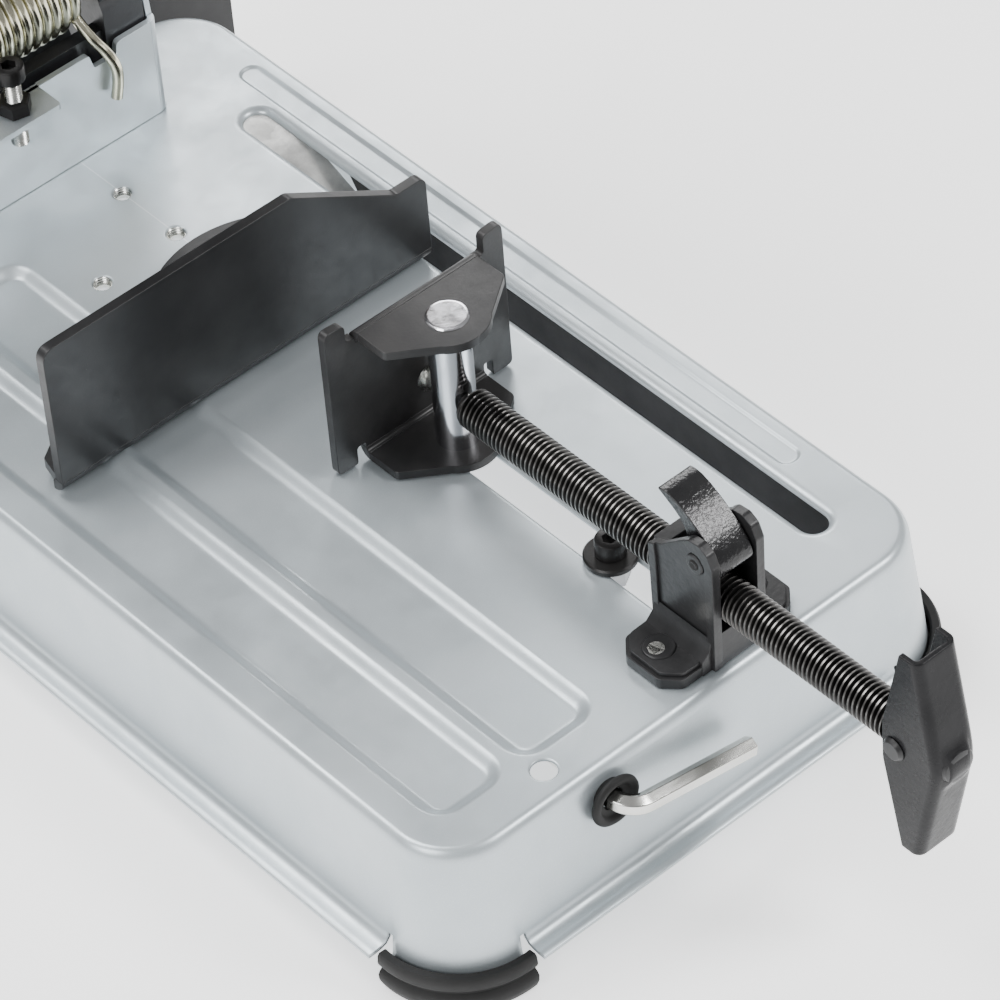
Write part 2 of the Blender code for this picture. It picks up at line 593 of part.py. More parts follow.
def make_handle():
    web_mid, web_end, rear_end, rear_mid = HANDLE_Y
    half_x, half_z = HANDLE_HALF
    sheet = 0.0025
    side = ((rear_end, SCREW_Z + half_z), (web_end, SCREW_Z + half_z), (web_mid, SCREW_Z),
            (web_end, SCREW_Z - half_z), (rear_end, SCREW_Z - half_z), (rear_mid, SCREW_Z - 0.010),
            (rear_mid, SCREW_Z + 0.010))
    handle = outline("spindle_handle", [side], VISE_X - half_x, VISE_X + half_x, "YZ", BLACK, SPINDLE)
    past = 0.08
    inner = web_mid + sheet + (web_end - web_mid) * past / half_z
    inside = ((rear_mid + 0.02, SCREW_Z + past), (inner, SCREW_Z + past), (web_mid + sheet, SCREW_Z),
              (inner, SCREW_Z - past), (rear_mid + 0.02, SCREW_Z - past))
    hollow = outline("handle_hollow", [inside], VISE_X - half_x + sheet, VISE_X + half_x - sheet, "YZ",
                     None, SPINDLE)
    bm = bmesh.new()
    add_cylinder(bm, (VISE_X, -0.37, SCREW_Z), (VISE_X, -0.32, SCREW_Z), 0.0082, 24)
    seat = mesh_object("handle_seat_hole", bm, None, SPINDLE)
    bm = bmesh.new()
    add_cylinder(bm, (VISE_X - 0.02, RIVET_Y, SCREW_Z), (VISE_X + 0.02, RIVET_Y, SCREW_Z), 0.0038, 16)
    cut(handle, hollow, seat, mesh_object("handle_rivet_hole", bm, None, SPINDLE))
    bm = bmesh.new()
    add_cylinder(bm, (VISE_X - half_x - 0.002, RIVET_Y, SCREW_Z), (VISE_X + half_x + 0.002, RIVET_Y, SCREW_Z),
                 0.0035, 16)
    rivet = mesh_object("handle_rivet", bm, BLACK, SPINDLE, smooth=True)
    heads = []
    for sign in (-1, 1):
        bm = bmesh.new()
        add_cylinder(bm, (VISE_X + sign * (half_x + GAP), RIVET_Y, SCREW_Z),
                     (VISE_X + sign * (half_x + 0.0022), RIVET_Y, SCREW_Z), 0.0055, 16, 0.0042)
        heads.append(mesh_object("rivet_head", bm, None, SPINDLE))
    join(rivet, *heads)


def make_nut_bracket():
    pad = ((-0.0146, -0.197), (-0.0290, -0.1973), (-0.0358, -0.205), (-0.0358, -0.2235), (-0.0290, -0.2308),
           (0.0290, -0.2308), (0.0358, -0.2235), (0.0358, -0.205), (0.0290, -0.1973), (0.0146, -0.197))
    feet = [(VISE_X + x, y) for x, y in pad]
    bracket = outline("nut_bracket", [feet], TOP + GAP, TOP + 0.0076, "XY", CASTING, ROOT)
    side = ([(-0.1972, TOP + 0.001), (-0.1965, TOP + 0.0472), (-0.2030, TOP + 0.0500), (-0.2205, TOP + 0.0655),
             (-0.2265, TOP + 0.0662), (-0.2312, TOP + 0.0635), (-0.2338, TOP + 0.0575), (-0.2330, TOP + 0.001)])
    tower = outline("bracket_tower", [side], VISE_X - 0.0138, VISE_X + 0.0138, "YZ", None, ROOT)
    join(bracket, tower)
    bm = bmesh.new()
    add_cylinder(bm, (VISE_X, -0.25, SCREW_Z), (VISE_X, -0.18, SCREW_Z), SCREW_RADIUS + 0.0005, 28)
    bore = mesh_object("bracket_bore", bm, None, ROOT)
    bm = bmesh.new()
    add_box(bm, (VISE_X - 0.0094, -0.25, TOP + 0.033), (VISE_X + 0.0094, -0.2025, TOP + 0.09))
    fork = mesh_object("bracket_fork", bm, None, ROOT)
    bm = bmesh.new()
    add_box(bm, (VISE_X - 0.0093, -0.25, TOP + 0.0175), (VISE_X + 0.0093, -0.2215, TOP + 0.0405))
    front = mesh_object("bracket_front", bm, None, ROOT)
    bm = bmesh.new()
    for x, y in VISE_BOLTS:
        add_cylinder(bm, (x, y, TOP - 0.01), (x, y, TOP + 0.02), 0.0043, 20)
    add_cylinder(bm, (VISE_X - 0.02, *LEVER_PIN), (VISE_X + 0.02, *LEVER_PIN), 0.0028, 16)
    cut(bracket, bore, fork, front, mesh_object("bracket_holes", bm, None, ROOT))
    for name, (x, y) in zip(("left", "right"), VISE_BOLTS):
        screw = cylinder(f"nut_bracket_bolt_{name}", (x, y, TOP - 0.010), (x, y, TOP + 0.0082), 0.004,
                         ZINC, ROOT, 20)
        join(screw, cylinder("bolt_head", (x, y, TOP - 0.016), (x, y, TOP - 0.0085), 0.0075, None, ROOT, 6))


LEVER_OUTLINE = ((0.0252, 0.0207), (0.0205, 0.0215), (0.0155, 0.0202), (0.0095, 0.0172), (0.0030, 0.0128),
                 (-0.0030, 0.0080), (-0.0078, 0.0022), (-0.0095, -0.0025), (-0.0080, -0.0058), (-0.0040, -0.0068),
                 (0.0030, -0.0045), (0.0150, -0.0045), (0.0135, 0.0000), (0.0100, 0.0040), (0.0098, 0.0075),
                 (0.0125, 0.0122), (0.0185, 0.0168))


def make_lever():
    py, pz = LEVER_PIN
    side = [(py + y, pz + z) for y, z in LEVER_OUTLINE]
    lever = outline("release_lever", [side], VISE_X - 0.0089, VISE_X + 0.0089, "YZ", CASTING, LEVER)
    bm = bmesh.new()
    add_cylinder(bm, (VISE_X - 0.02, py, pz), (VISE_X + 0.02, py, pz), 0.0028, 16)
    cut(lever, mesh_object("lever_bore", bm, None, LEVER))
    cylinder("lever_pin", (VISE_X - 0.0136, py, pz), (VISE_X + 0.0136, py, pz), 0.0025, STEEL, ROOT, 16)
    half_nut = box("half_nut", (VISE_X - 0.0086, py + 0.0035, TOP + 0.0345),
                   (VISE_X + 0.0086, py + 0.0140, pz - 0.0045 - GAP), STEEL, LEVER)
    bm = bmesh.new()
    add_cylinder(bm, (VISE_X, -0.25, SCREW_Z), (VISE_X, -0.18, SCREW_Z), SCREW_RADIUS + GAP, 28)
    cut(half_nut, mesh_object("half_nut_bore", bm, None, LEVER))


def make_stop_screw():
    """Socket screw with a washer and nut, clamped in the guide slot as the jaw's rear stop."""
    x, y = VISE_X, STOP_SCREW_Y
    bm = bmesh.new()
    add_cylinder(bm, (x, y, TOP + 0.0035), (x, y, TOP + 0.0115), 0.0065, 24)
    screw = mesh_object("stop_screw", bm, OXIDE, ROOT, smooth=True)
    bm = bmesh.new()
    add_cylinder(bm, (x, y, TOP - 0.014), (x, y, TOP + 0.004), 0.004, 16)
    join(screw, mesh_object("stop_screw_shank", bm, None, ROOT))
    bm = bmesh.new()
    add_cylinder(bm, (x, y, TOP + 0.0085), (x, y, TOP + 0.02), 0.0035, 6)
    cut(screw, mesh_object("stop_screw_socket", bm, None, ROOT))
    bm = bmesh.new()
    add_cylinder(bm, (x, y, TOP + GAP), (x, y, TOP + 0.0032), 0.0115, 24)
    washer = mesh_object("stop_screw_washer", bm, OXIDE, ROOT, smooth=True)
    bm = bmesh.new()
    add_cylinder(bm, (x, y, TOP - 0.0105), (x, y, TOP - 0.0023), 0.0080, 6)
    nut = mesh_object("stop_screw_nut", bm, ZINC, ROOT)
    for target in (washer, nut):
        bm = bmesh.new()
        add_cylinder(bm, (x, y, TOP - 0.02), (x, y, TOP + 0.02), 0.0043, 16)
        cut(target, mesh_object("stop_screw_bore", bm, None, ROOT))


def make_key():
    x, z = KEY_HOLE
    wall = -0.2424
    droop = math.radians(-10.6)
    bend, reach = 0.006, 0.0605
    bm = bmesh.new()
    add_cylinder(bm, (x, wall - GAP, z), (x, wall - 0.0029, z), 0.0120, 24)
    grommet = mesh_object("key_grommet", bm, RUBBER, ROOT, smooth=True)
    bm = bmesh.new()
    add_cylinder(bm, (x, wall - 0.001, z), (x, wall + 0.008, z), 0.0080, 24)
    neck = mesh_object("grommet_neck", bm, None, ROOT)
    bm = bmesh.new()
    add_cylinder(bm, (x, wall - 0.02, z), (x, wall + 0.02, z), 0.0050, 16)
    join(grommet, neck)
    cut(grommet, mesh_object("grommet_bore", bm, None, ROOT))
    # hexagon swept along the long arm, the bend and the short arm
    along = Vector((math.cos(droop), 0, math.sin(droop)))
    path = [(Vector((x, -0.130, z)), Vector((0, -1, 0)))]
    corner = Vector((x, -0.2515 + bend, z))
    for i in range(7):
        a = math.radians(90 * i / 6)
        point = corner + Vector((0, -bend * math.sin(a), 0)) + along * bend * (1 - math.cos(a))
        path.append((point, Vector((0, -math.cos(a), 0)) + along * math.sin(a)))
    path.append((path[-1][0] + along * reach, along))
    bm = bmesh.new()
    rings = []
    side_axis = along.cross(Vector((0, -1, 0))).normalized()
    for point, heading in path:
        other = heading.cross(side_axis).normalized()
        rings.append([bm.verts.new(point + (side_axis * math.cos(math.radians(a)) + other * math.sin(math.radians(a)))
                                   * KEY_RADIUS) for a in range(0, 360, 60)])
    for first, second in zip(rings, rings[1:]):
        for i in range(6):
            j = (i + 1) % 6
            bm.faces.new((first[i], second[i], second[j], first[j]))
    bm.faces.new(rings[0])
    bm.faces.new(rings[-1])
    mesh_object("hex_key", bm, ZINC, KEY)


def make_deflector():
    x0, x1 = 0.038, 0.165
    y = 0.2508
    bm = bmesh.new()
    add_box(bm, (x0, y, TOP - 0.050), (x1, y + 0.0018, TOP + 0.022))
    plate = mesh_object("spark_deflector", bm, BLACK, ROOT)
    bm = bmesh.new()
    add_box(bm, (x0 + GAP, y + GAP, TOP - 0.0498), (x1 - GAP, y + 0.024, TOP - 0.0480))
    lip = mesh_object("deflector_lip", bm, None, ROOT)
    join(plate, lip)
    for x in DEFLECTOR_SCREW_X:
        boss = cylinder("deflector_boss", (x, 0.2435, DEFLECTOR_SCREW_Z), (x, y + 0.001, DEFLECTOR_SCREW_Z), 0.008,
                        None, ROOT)
        join(plate, boss)
    for x in DEFLECTOR_SCREW_X:
        cut(plate, cylinder("deflector_hole", (x, 0.23, DEFLECTOR_SCREW_Z), (x, 0.26, DEFLECTOR_SCREW_Z), 0.0034,
                            None, ROOT, 12))


def make_lock_pin():
    y, z = LOCK_PIN
    bm = bmesh.new()
    add_cylinder(bm, (-0.0700, y, z), (-0.0435, y, z), 0.0039, 16)
    pin = mesh_object("transport_lock_pin", bm, ZINC, LOCK, smooth=True)
    bm = bmesh.new()
    add_cylinder(bm, (-0.0780, y, z), (-0.0690, y, z), 0.0100, 20)
    join(pin, mesh_object("lock_knob", bm, None, LOCK))


# ---------------------------------------------------------------- saw head, drawn lowered
def to_lowered(y, z):
    """A y, z place measured from the hinge with the head raised, where it is when lowered."""
    c, s = math.cos(HEAD_TRAVEL), math.sin(HEAD_TRAVEL)
    return (PIVOT[0] + y * c - z * s, PIVOT[1] + y * s + z * c)


def at_stop(y, z):
    """Where the drawn head must carry a feature that meets the fixed place y, z at its lower stop."""
    c, s = math.cos(STOP_SHORT), math.sin(STOP_SHORT)
    y, z = y - PIVOT[0], z - PIVOT[1]
    return (PIVOT[0] + y * c - z * s, PIVOT[1] + y * s + z * c)


def make_arm():
    case = hull_of_circles(ARBOR, 0.048, MOTOR, 0.060, 12)
    arm = outline("arm_casting", [case], CASE_X[0], CASE_X[1], "YZ", CASTING, HEAD)
    beam = hull_of_circles(PIVOT, 0.026, (-0.005, TOP + 0.148), 0.050, 10)
    web_side = [to_lowered(y, z) for y, z in ((-0.0245, -0.0425), (-0.0175, -0.0425),
                                              (-0.0175, -0.022), (-0.0245, -0.022))]
    web = outline("arm_web", [web_side], CHEEK_LEFT[0] + GAP, CHEEK_RIGHT[1] - GAP, "YZ", None, HEAD)
    root = outline("arm_beam", [beam], CASE_X[0], CHEEK_RIGHT[1], "YZ", None, HEAD)
    lobe = [to_lowered(y, z) for y, z in arc((0, 0), 0.024, -70, 130, 8)
            + [(-0.0268, -0.012), (-0.0268, -0.043), (-0.002, -0.043)]]
    cheek = outline("arm_cheek", [lobe], CHEEK_LEFT[0], CHEEK_LEFT[1], "YZ", None, HEAD)
    right_cheek = outline("arm_right_cheek", [lobe], CHEEK_RIGHT[0] + GAP, CHEEK_RIGHT[1] - 2 * GAP, "YZ", None,
                          HEAD)
    bm = bmesh.new()
    add_box(bm, (CHEEK_LEFT[0], 0.172, TOP + 0.0797), (0.004, 0.1855, TOP + 0.094))
    lug = mesh_object("stop_lug", bm, None, HEAD)
    bm = bmesh.new()
    add_box(bm, (CHEEK_LEFT[0] + 0.0002, 0.180, TOP + 0.0799), (CHEEK_LEFT[1], 0.200, TOP + 0.0938))
    lug_root = mesh_object("stop_lug_root", bm, None, HEAD)
    join(arm, root, right_cheek, web, cheek, lug_root, lug)
    cavity = outline("case_cavity", [hull_of_circles(ARBOR, 0.044, MOTOR, 0.056, 12)],
                     CASE_X[0] - 0.01, CASE_X[1] - 0.004, "YZ", None, HEAD)
    bm = bmesh.new()
    add_cylinder(bm, (-0.06, *PIVOT), (0.09, *PIVOT), 0.0093, 24)
    add_cylinder(bm, (0.07, *ARBOR), (0.10, *ARBOR), 0.0130, 24)
    lock_hole = at_stop(*LOCK_PIN)
    add_cylinder(bm, (-0.05, *lock_hole), (-0.02, *lock_hole), 0.0045, 16)
    holes = mesh_object("arm_holes", bm, None, HEAD)
    bm = bmesh.new()
    add_cylinder(bm, (CASE_X[1] - 0.002, *ARBOR), (0.0919, *ARBOR), 0.026, 28)
    boss = mesh_object("arm_boss", bm, None, HEAD)
    join(arm, boss)
    cut(arm, cavity, holes)


def toothed(name, centre, teeth, module, x_range, bore, look, pivot, phase):
    """A spur wheel with straight-sided teeth; phase turns a tooth onto +Y."""
    pitch = module * teeth / 2
    step = 360 / teeth
    points = []
    for i in range(teeth):
        middle = phase + i * step
        for share, radius in ((-0.30, pitch - 1.15 * module), (-0.13, pitch + 0.75 * module),
                              (0.13, pitch + 0.75 * module), (0.30, pitch - 1.15 * module)):
            a = math.radians(middle + share * step)
            points.append((centre[0] + radius * math.cos(a), centre[1] + radius * math.sin(a)))
    hole = circle(centre, bore, 20)
    return outline(name, [points, hole], x_range[0], x_range[1], "YZ", look, pivot)


def make_drive():
    reach = math.hypot(MOTOR[0] - ARBOR[0], MOTOR[1] - ARBOR[1])
    module = 2 * reach / sum(GEAR_TEETH)
    heading = math.degrees(math.atan2(MOTOR[1] - ARBOR[1], MOTOR[0] - ARBOR[0]))
    toothed("drive_gear", ARBOR, GEAR_TEETH[1], module, (0.0620, 0.0720), 0.0103, STEEL, DISC, heading)
    toothed("motor_pinion", MOTOR, GEAR_TEETH[0], module, (0.0600, 0.0740), 0.0043, STEEL, ROTOR,
            heading + 180 + 180 / GEAR_TEETH[0])
    bm = bmesh.new()
    add_cylinder(bm, (0.0575, *ARBOR), (0.1135, *ARBOR), 0.0100, 24)
    arbor = mesh_object("arbor_shaft", bm, STEEL, DISC, smooth=True)
    bm = bmesh.new()
    add_cylinder(bm, (0.1000, *ARBOR), (0.1200, *ARBOR), 0.0043, 16)
    cut(arbor, mesh_object("arbor_thread", bm, None, DISC))
    ring("arbor_bearing", ARBOR, (0.0850, 0.0915), 0.0103, 0.0127, STEEL, HEAD)
    ring("inner_flange", ARBOR, (0.0924, 0.0983), 0.0103, 0.038, STEEL, DISC)
    ring("outer_flange", ARBOR, (0.1019, 0.1075), 0.0103, 0.038, STEEL, DISC)
    ring("cutting_disc", ARBOR, (DISC_X - DISC_THICKNESS / 2, DISC_X + DISC_THICKNESS / 2), 0.0103, DISC_RADIUS,
         ABRASIVE, DISC, 72)
    bm = bmesh.new()
    add_cylinder(bm, (0.1138, *ARBOR), (0.1195, *ARBOR), 0.0085, 6)
    bolt = mesh_object("arbor_bolt", bm, ZINC, DISC)
    bm = bmesh.new()
    add_cylinder(bm, (0.1010, *ARBOR), (0.1145, *ARBOR), 0.0040, 16)
    join(bolt, mesh_object("arbor_bolt_shank", bm, None, DISC))


def ring(name, centre, x_range, bore, radius, look, pivot, sides=32):
    bm = outline_bm([circle(centre, radius, sides), circle(centre, bore, 24)], x_range[0], x_range[1], "YZ")
    return mesh_object(name, bm, look, pivot, smooth=True)


def guard_shell(name, outer, x_range, wall, start, stop, look, pivot, hub, open_hub):
    """Drum sector round the disc, open towards the disc's exposed side."""
    sector = [ARBOR] + arc(ARBOR, outer, start, stop, 28)
    shell = outline(name, [sector], x_range[0], x_range[1], "YZ", look, pivot)
    bm = bmesh.new()
    add_cylinder(bm, (x_range[0] + wall, *ARBOR), (x_range[1] - wall, *ARBOR), outer - wall, 72)
    hollow = mesh_object(name + "_hollow", bm, None, pivot)
    bm = bmesh.new()
    add_cylinder(bm, (x_range[0] - 0.01, *ARBOR), (x_range[0] + wall + 0.002, *ARBOR), hub, 32)
    left = mesh_object(name + "_hub", bm, None, pivot)
    bm = bmesh.new()
    add_cylinder(bm, (x_range[1] - wall - 0.002, *ARBOR), (x_range[1] + 0.01, *ARBOR), open_hub, 32)
    right = mesh_object(name + "_window", bm, None, pivot)
    return cut(shell, hollow, left, right)


def make_guards():
    upper = guard_shell("upper_guard", 0.187, (0.0845, 0.1165), 0.0025, -6, 186, BLACK, HEAD, 0.0263, 0.046)
    # a full ring round the boss lets the screws hold the guard to the gear case
    bm = bmesh.new()
    add_cylinder(bm, (0.0843, *ARBOR), (0.0872, *ARBOR), 0.045, 40)
    disc = mesh_object("guard_seat", bm, None, HEAD)
    bm = bmesh.new()
    add_cylinder(bm, (0.08, *ARBOR), (0.09, *ARBOR), 0.0263, 32)
    join(upper, disc)
    cut(upper, mesh_object("guard_seat_holes", bm, None, HEAD))
    lower = guard_shell("lower_guard", 0.182, (0.0900, 0.1120), 0.0016, 181, 278, GREY_PLASTIC, GUARD,
                        0.0264, 0.060)
    bm = bmesh.new()
    add_cylinder(bm, (0.0898, *ARBOR), (0.0918, *ARBOR), 0.036, 32)
    hub = mesh_object("lower_guard_hub", bm, None, GUARD)
    bm = bmesh.new()
    add_cylinder(bm, (0.08, *ARBOR), (0.095, *ARBOR), 0.0264, 32)
    join(lower, hub)
    cut(lower, mesh_object("lower_guard_bore", bm, None, GUARD))


def make_motor():
    ring("motor_housing", MOTOR, MOTOR_X, 0.0485, 0.0520, PLASTIC, HEAD, 40)
    cover = outline("gear_cover", [hull_of_circles(ARBOR, 0.048, MOTOR, 0.060, 12)], 0.0500, 0.0537, "YZ",
                    CASTING, HEAD)
    bm = bmesh.new()
    add_cylinder(bm, (0.04, *MOTOR), (0.06, *MOTOR), 0.0063, 24)
    add_cylinder(bm, (0.04, *ARBOR), (0.06, *ARBOR), 0.0130, 24)
    cut(cover, mesh_object("cover_bores", bm, None, HEAD))
    cap_low = MOTOR_X[0] - 0.028
    bm = bmesh.new()
    add_cylinder(bm, (cap_low, *MOTOR), (MOTOR_X[0] - GAP, *MOTOR), 0.0470, 40, 0.0520)
    cap = mesh_object("motor_end_cap", bm, PLASTIC, HEAD, smooth=True)
    bm = bmesh.new()
    add_cylinder(bm, (cap_low + 0.004, *MOTOR), (MOTOR_X[0] + 0.01, *MOTOR), 0.0430, 32, 0.0470)
    cut(cap, mesh_object("cap_hollow", bm, None, HEAD))
    ring("motor_stator", MOTOR, (-0.060, 0.005), 0.0300, 0.0478, STEEL, HEAD)
    bm = bmesh.new()
    add_cylinder(bm, (-0.062, *MOTOR), (0.007, *MOTOR), 0.0290, 32)
    armature = mesh_object("motor_armature", bm, COPPER, ROTOR, smooth=True)
    bm = bmesh.new()
    add_cylinder(bm, (-0.096, *MOTOR), (0.0590, *MOTOR), 0.0060, 20)
    axle = mesh_object("armature_shaft", bm, None, ROTOR)
    bm = bmesh.new()
    add_cylinder(bm, (-0.090, *MOTOR), (-0.072, *MOTOR), 0.0140, 24)
    commutator = mesh_object("armature_commutator", bm, None, ROTOR)
    bm = bmesh.new()
    add_cylinder(bm, (0.0580, *MOTOR), (0.0745, *MOTOR), 0.0040, 16)
    nose = mesh_object("armature_nose", bm, None, ROTOR)
    join(armature, axle, commutator, nose)
    blades = 9
    points = []
    for i in range(blades):
        a = 360 / blades * i
        points += [(MOTOR[0] + r * math.cos(math.radians(a + t)), MOTOR[1] + r * math.sin(math.radians(a + t)))
                   for r, t in ((0.014, 0), (0.043, 9), (0.043, 13), (0.014, 9))]
    outline("cooling_fan", [points, circle(MOTOR, 0.0063, 20)], 0.0200, 0.0340, "YZ", GREY_PLASTIC, ROTOR)
    carrier = ring("brush_carrier", MOTOR, (-0.0870, -0.0750), 0.0340, 0.0480, GREY_PLASTIC, HEAD)
    for sign in (-1, 1):
        tip, root = MOTOR[1] + sign * 0.0145, MOTOR[1] + sign * 0.0400
        join(carrier, box("carbon_brush", (-0.0850, MOTOR[0] - 0.0040, min(tip, root)),
                          (-0.0770, MOTOR[0] + 0.0040, max(tip, root)), None, HEAD))


# ---------------------------------------------------------------- handles and switches
GRIP_OUTLINE = ((-0.062, 0.198), (-0.100, 0.220), (-0.185, 0.230), (-0.211, 0.243), (-0.219, 0.267),
                (-0.207, 0.289), (-0.172, 0.299), (-0.092, 0.293), (-0.040, 0.271), (-0.008, 0.236), (-0.008, 0.198))
GRIP_HOLE = ((-0.108, 0.242), (-0.178, 0.250), (-0.192, 0.260), (-0.189, 0.272), (-0.172, 0.279),
             (-0.100, 0.274), (-0.088, 0.258))
GRIP_X = (0.0330, 0.0670)
TRIGGER_Y = (-0.166, -0.128)


def make_grip():
    outer = [(y, TOP + z) for y, z in GRIP_OUTLINE]
    inner = [(y, TOP + z) for y, z in GRIP_HOLE]
    middle = sum(GRIP_X) / 2
    shells = (("handle_shell_left", GRIP_X[0], middle - GAP / 2), ("handle_shell_right", middle + GAP / 2, GRIP_X[1]))
    for name, low, high in shells:
        shell = outline(name, [outer, inner], low, high, "YZ", PLASTIC, HEAD)
        bm = bmesh.new()
        add_box(bm, (middle - 0.0085, TRIGGER_Y[0] - 0.001, TOP + 0.262), (middle + 0.0085, TRIGGER_Y[1] + 0.001,
                                                                          TOP + 0.2890))
        pocket = mesh_object("trigger_pocket", bm, None, HEAD)
        bm = bmesh.new()
        add_cylinder(bm, (-0.02, *MOTOR), (0.0500, *MOTOR), 0.0523, 40)
        motor = mesh_object("grip_motor_seat", bm, None, HEAD)
        case = outline("grip_case_seat", [hull_of_circles(ARBOR, 0.0483, MOTOR, 0.0603, 12)], 0.0497, 0.10, "YZ",
                       None, HEAD)
        bm = bmesh.new()
        add_cylinder(bm, (0.02, *LOCK_BUTTON), (middle - 0.0095, *LOCK_BUTTON), 0.0063, 16)
        button = mesh_object("lock_button_pocket", bm, None, HEAD)
        cut(shell, pocket, motor, case, button)
    box("trigger", (middle - 0.0080, TRIGGER_Y[0], TOP + 0.2640), (middle + 0.0080, TRIGGER_Y[1], TOP + 0.2835),
        PLASTIC, TRIGGER)
    cylinder("lock_off_button", (GRIP_X[0] - 0.0045, *LOCK_BUTTON), (GRIP_X[0] + 0.0025, *LOCK_BUTTON), 0.0060,
             GREY_PLASTIC, BUTTON, 16)
    bm = bmesh.new()
    out = Vector((0, 0.738, 0.675))
    seat = Vector((middle, -0.024, TOP + 0.2535)) + out * 2 * GAP
    add_cylinder(bm, seat, seat + out * 0.018, 0.0075, 16, 0.0060)
    mesh_object("cable_gland", bm, RUBBER, HEAD, smooth=True)
    points = [(0.0755, -0.052, TOP + 0.2160)]
    points += [(0.0755, y, TOP + z) for y, z in arc((-0.036, 0.246), 0.016, 180, 90, 4)]
    points += [(0.0755, y, TOP + z) for y, z in arc((0.014, 0.246), 0.016, 90, 0, 4)]
    points += [(0.0755, 0.030, TOP + 0.2085)]
    wire("carry_handle", points, 0.0070, PLASTIC, HEAD, 3)


LOCK_BUTTON = (-0.147, TOP + 0.2915 - 0.006)

FENCE = Pivot("fence_pivot", (VISE_X, FENCE_PIVOT_Y, TOP), ROOT)
SLIDE = Pivot("vise_slide", (VISE_X, JAW_PIN_Y, SCREW_Z), ROOT)
JAW = Pivot("jaw_swivel", (VISE_X, JAW_PIN_Y, SCREW_Z), SLIDE)
SPINDLE = Pivot("spindle_axis", (VISE_X, JAW_PIN_Y, SCREW_Z), SLIDE)
LEVER = Pivot("lever_axis", (VISE_X, *LEVER_PIN), ROOT)
STOP = Pivot("depth_stop_axis", (*STOP_BOLT, TOP + 0.05), ROOT)
KEY = Pivot("key_axis", (KEY_HOLE[0], -0.2413, KEY_HOLE[1]), ROOT)
LOCK = Pivot("lock_pin_axis", (-0.046, *LOCK_PIN), ROOT)
HEAD = Pivot("head_hinge", (0.0, *PIVOT), ROOT, turn=-HEAD_TRAVEL)
DISC = Pivot("arbor_axis", (DISC_X, *ARBOR), HEAD)
GUARD = Pivot("guard_axis", (DISC_X, *ARBOR), HEAD)
ROTOR = Pivot("rotor_axis", (0.0, *MOTOR), HEAD)
TRIGGER = Pivot("trigger_axis", (0.05, TRIGGER_Y[0], TOP + 0.28), HEAD)
BUTTON = Pivot("button_axis", (GRIP_X[0], *LOCK_BUTTON), HEAD)

for make in (make_base, make_feet, make_chute, make_rear_bracket, make_base_fittings, make_hinge, make_spring,
             make_fence, make_fence_bolts, make_jaw, make_jaw_pin, make_spindle, make_handle, make_nut_bracket,
             make_lever, make_stop_screw, make_key, make_deflector, make_lock_pin, make_arm, make_drive,
             make_guards, make_motor, make_grip):
    make()
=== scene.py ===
"""The looks of the cut-off saw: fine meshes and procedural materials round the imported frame.

The base and the vise are drawn in metres in the tray's own frame: X right, Y to the rear, Z = 0 on the
floor.  LAY puts that on the row frame.  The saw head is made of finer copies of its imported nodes, which
stand raised, and its motor details are drawn in the row frame.
"""
import json
import math

import bmesh
import bpy
from mathutils import Matrix, Vector


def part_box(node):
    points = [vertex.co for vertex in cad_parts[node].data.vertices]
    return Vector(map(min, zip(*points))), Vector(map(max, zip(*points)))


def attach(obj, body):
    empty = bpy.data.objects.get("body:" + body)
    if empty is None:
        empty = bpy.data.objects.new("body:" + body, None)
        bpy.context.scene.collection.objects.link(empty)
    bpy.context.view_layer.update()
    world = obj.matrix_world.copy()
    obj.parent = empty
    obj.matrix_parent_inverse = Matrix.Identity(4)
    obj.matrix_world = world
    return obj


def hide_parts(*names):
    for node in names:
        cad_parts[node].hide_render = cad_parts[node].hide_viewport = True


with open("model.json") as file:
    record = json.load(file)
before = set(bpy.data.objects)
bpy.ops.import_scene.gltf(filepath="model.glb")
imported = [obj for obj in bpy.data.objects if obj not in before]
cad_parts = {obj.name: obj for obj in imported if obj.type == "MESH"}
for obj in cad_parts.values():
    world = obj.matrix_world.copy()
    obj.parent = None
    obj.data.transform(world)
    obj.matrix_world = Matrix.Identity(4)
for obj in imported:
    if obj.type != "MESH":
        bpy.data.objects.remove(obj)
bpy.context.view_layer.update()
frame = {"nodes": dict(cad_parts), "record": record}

tray_low, tray_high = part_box("base_pan")
TOP = tray_high.z
LAY = Matrix.Translation(((tray_low.x + tray_high.x) / 2, (tray_low.y + tray_high.y) / 2, 0))
HINGE = next(Vector(joint["pos_m"]) for joint in frame["record"]["behaviour"]["joints"]
             if joint["name"] == "head_hinge")


def local(node):
    """A node's box in the tray's frame; only for nodes that don't hang on the head."""
    low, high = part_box(node)
    return LAY.inverted() @ low, LAY.inverted() @ high


# ---------------------------------------------------------------- materials
def node_material(name, colour, roughness, metallic, coat=0.0):
    made = bpy.data.materials.new(name)
    made.use_nodes = True
    tree = made.node_tree
    shader = tree.nodes["Principled BSDF"]
    shader.inputs["Base Color"].default_value = (*colour, 1)
    shader.inputs["Roughness"].default_value = roughness
    shader.inputs["Metallic"].default_value = metallic
    shader.inputs["Coat Weight"].default_value = coat
    shader.inputs["Coat Roughness"].default_value = 0.25
    return made, tree, shader


def coordinates(tree, stretch=(1, 1, 1)):
    place = tree.nodes.new("ShaderNodeTexCoord")
    mapping = tree.nodes.new("ShaderNodeMapping")
    mapping.inputs["Scale"].default_value = stretch
    tree.links.new(place.outputs["Object"], mapping.inputs["Vector"])
    return mapping.outputs["Vector"]


def noise(tree, vector, scale, detail=3.0, roughness=0.5):
    made = tree.nodes.new("ShaderNodeTexNoise")
    made.inputs["Scale"].default_value = scale
    made.inputs["Detail"].default_value = detail
    made.inputs["Roughness"].default_value = roughness
    tree.links.new(vector, made.inputs["Vector"])
    return made.outputs["Fac"]


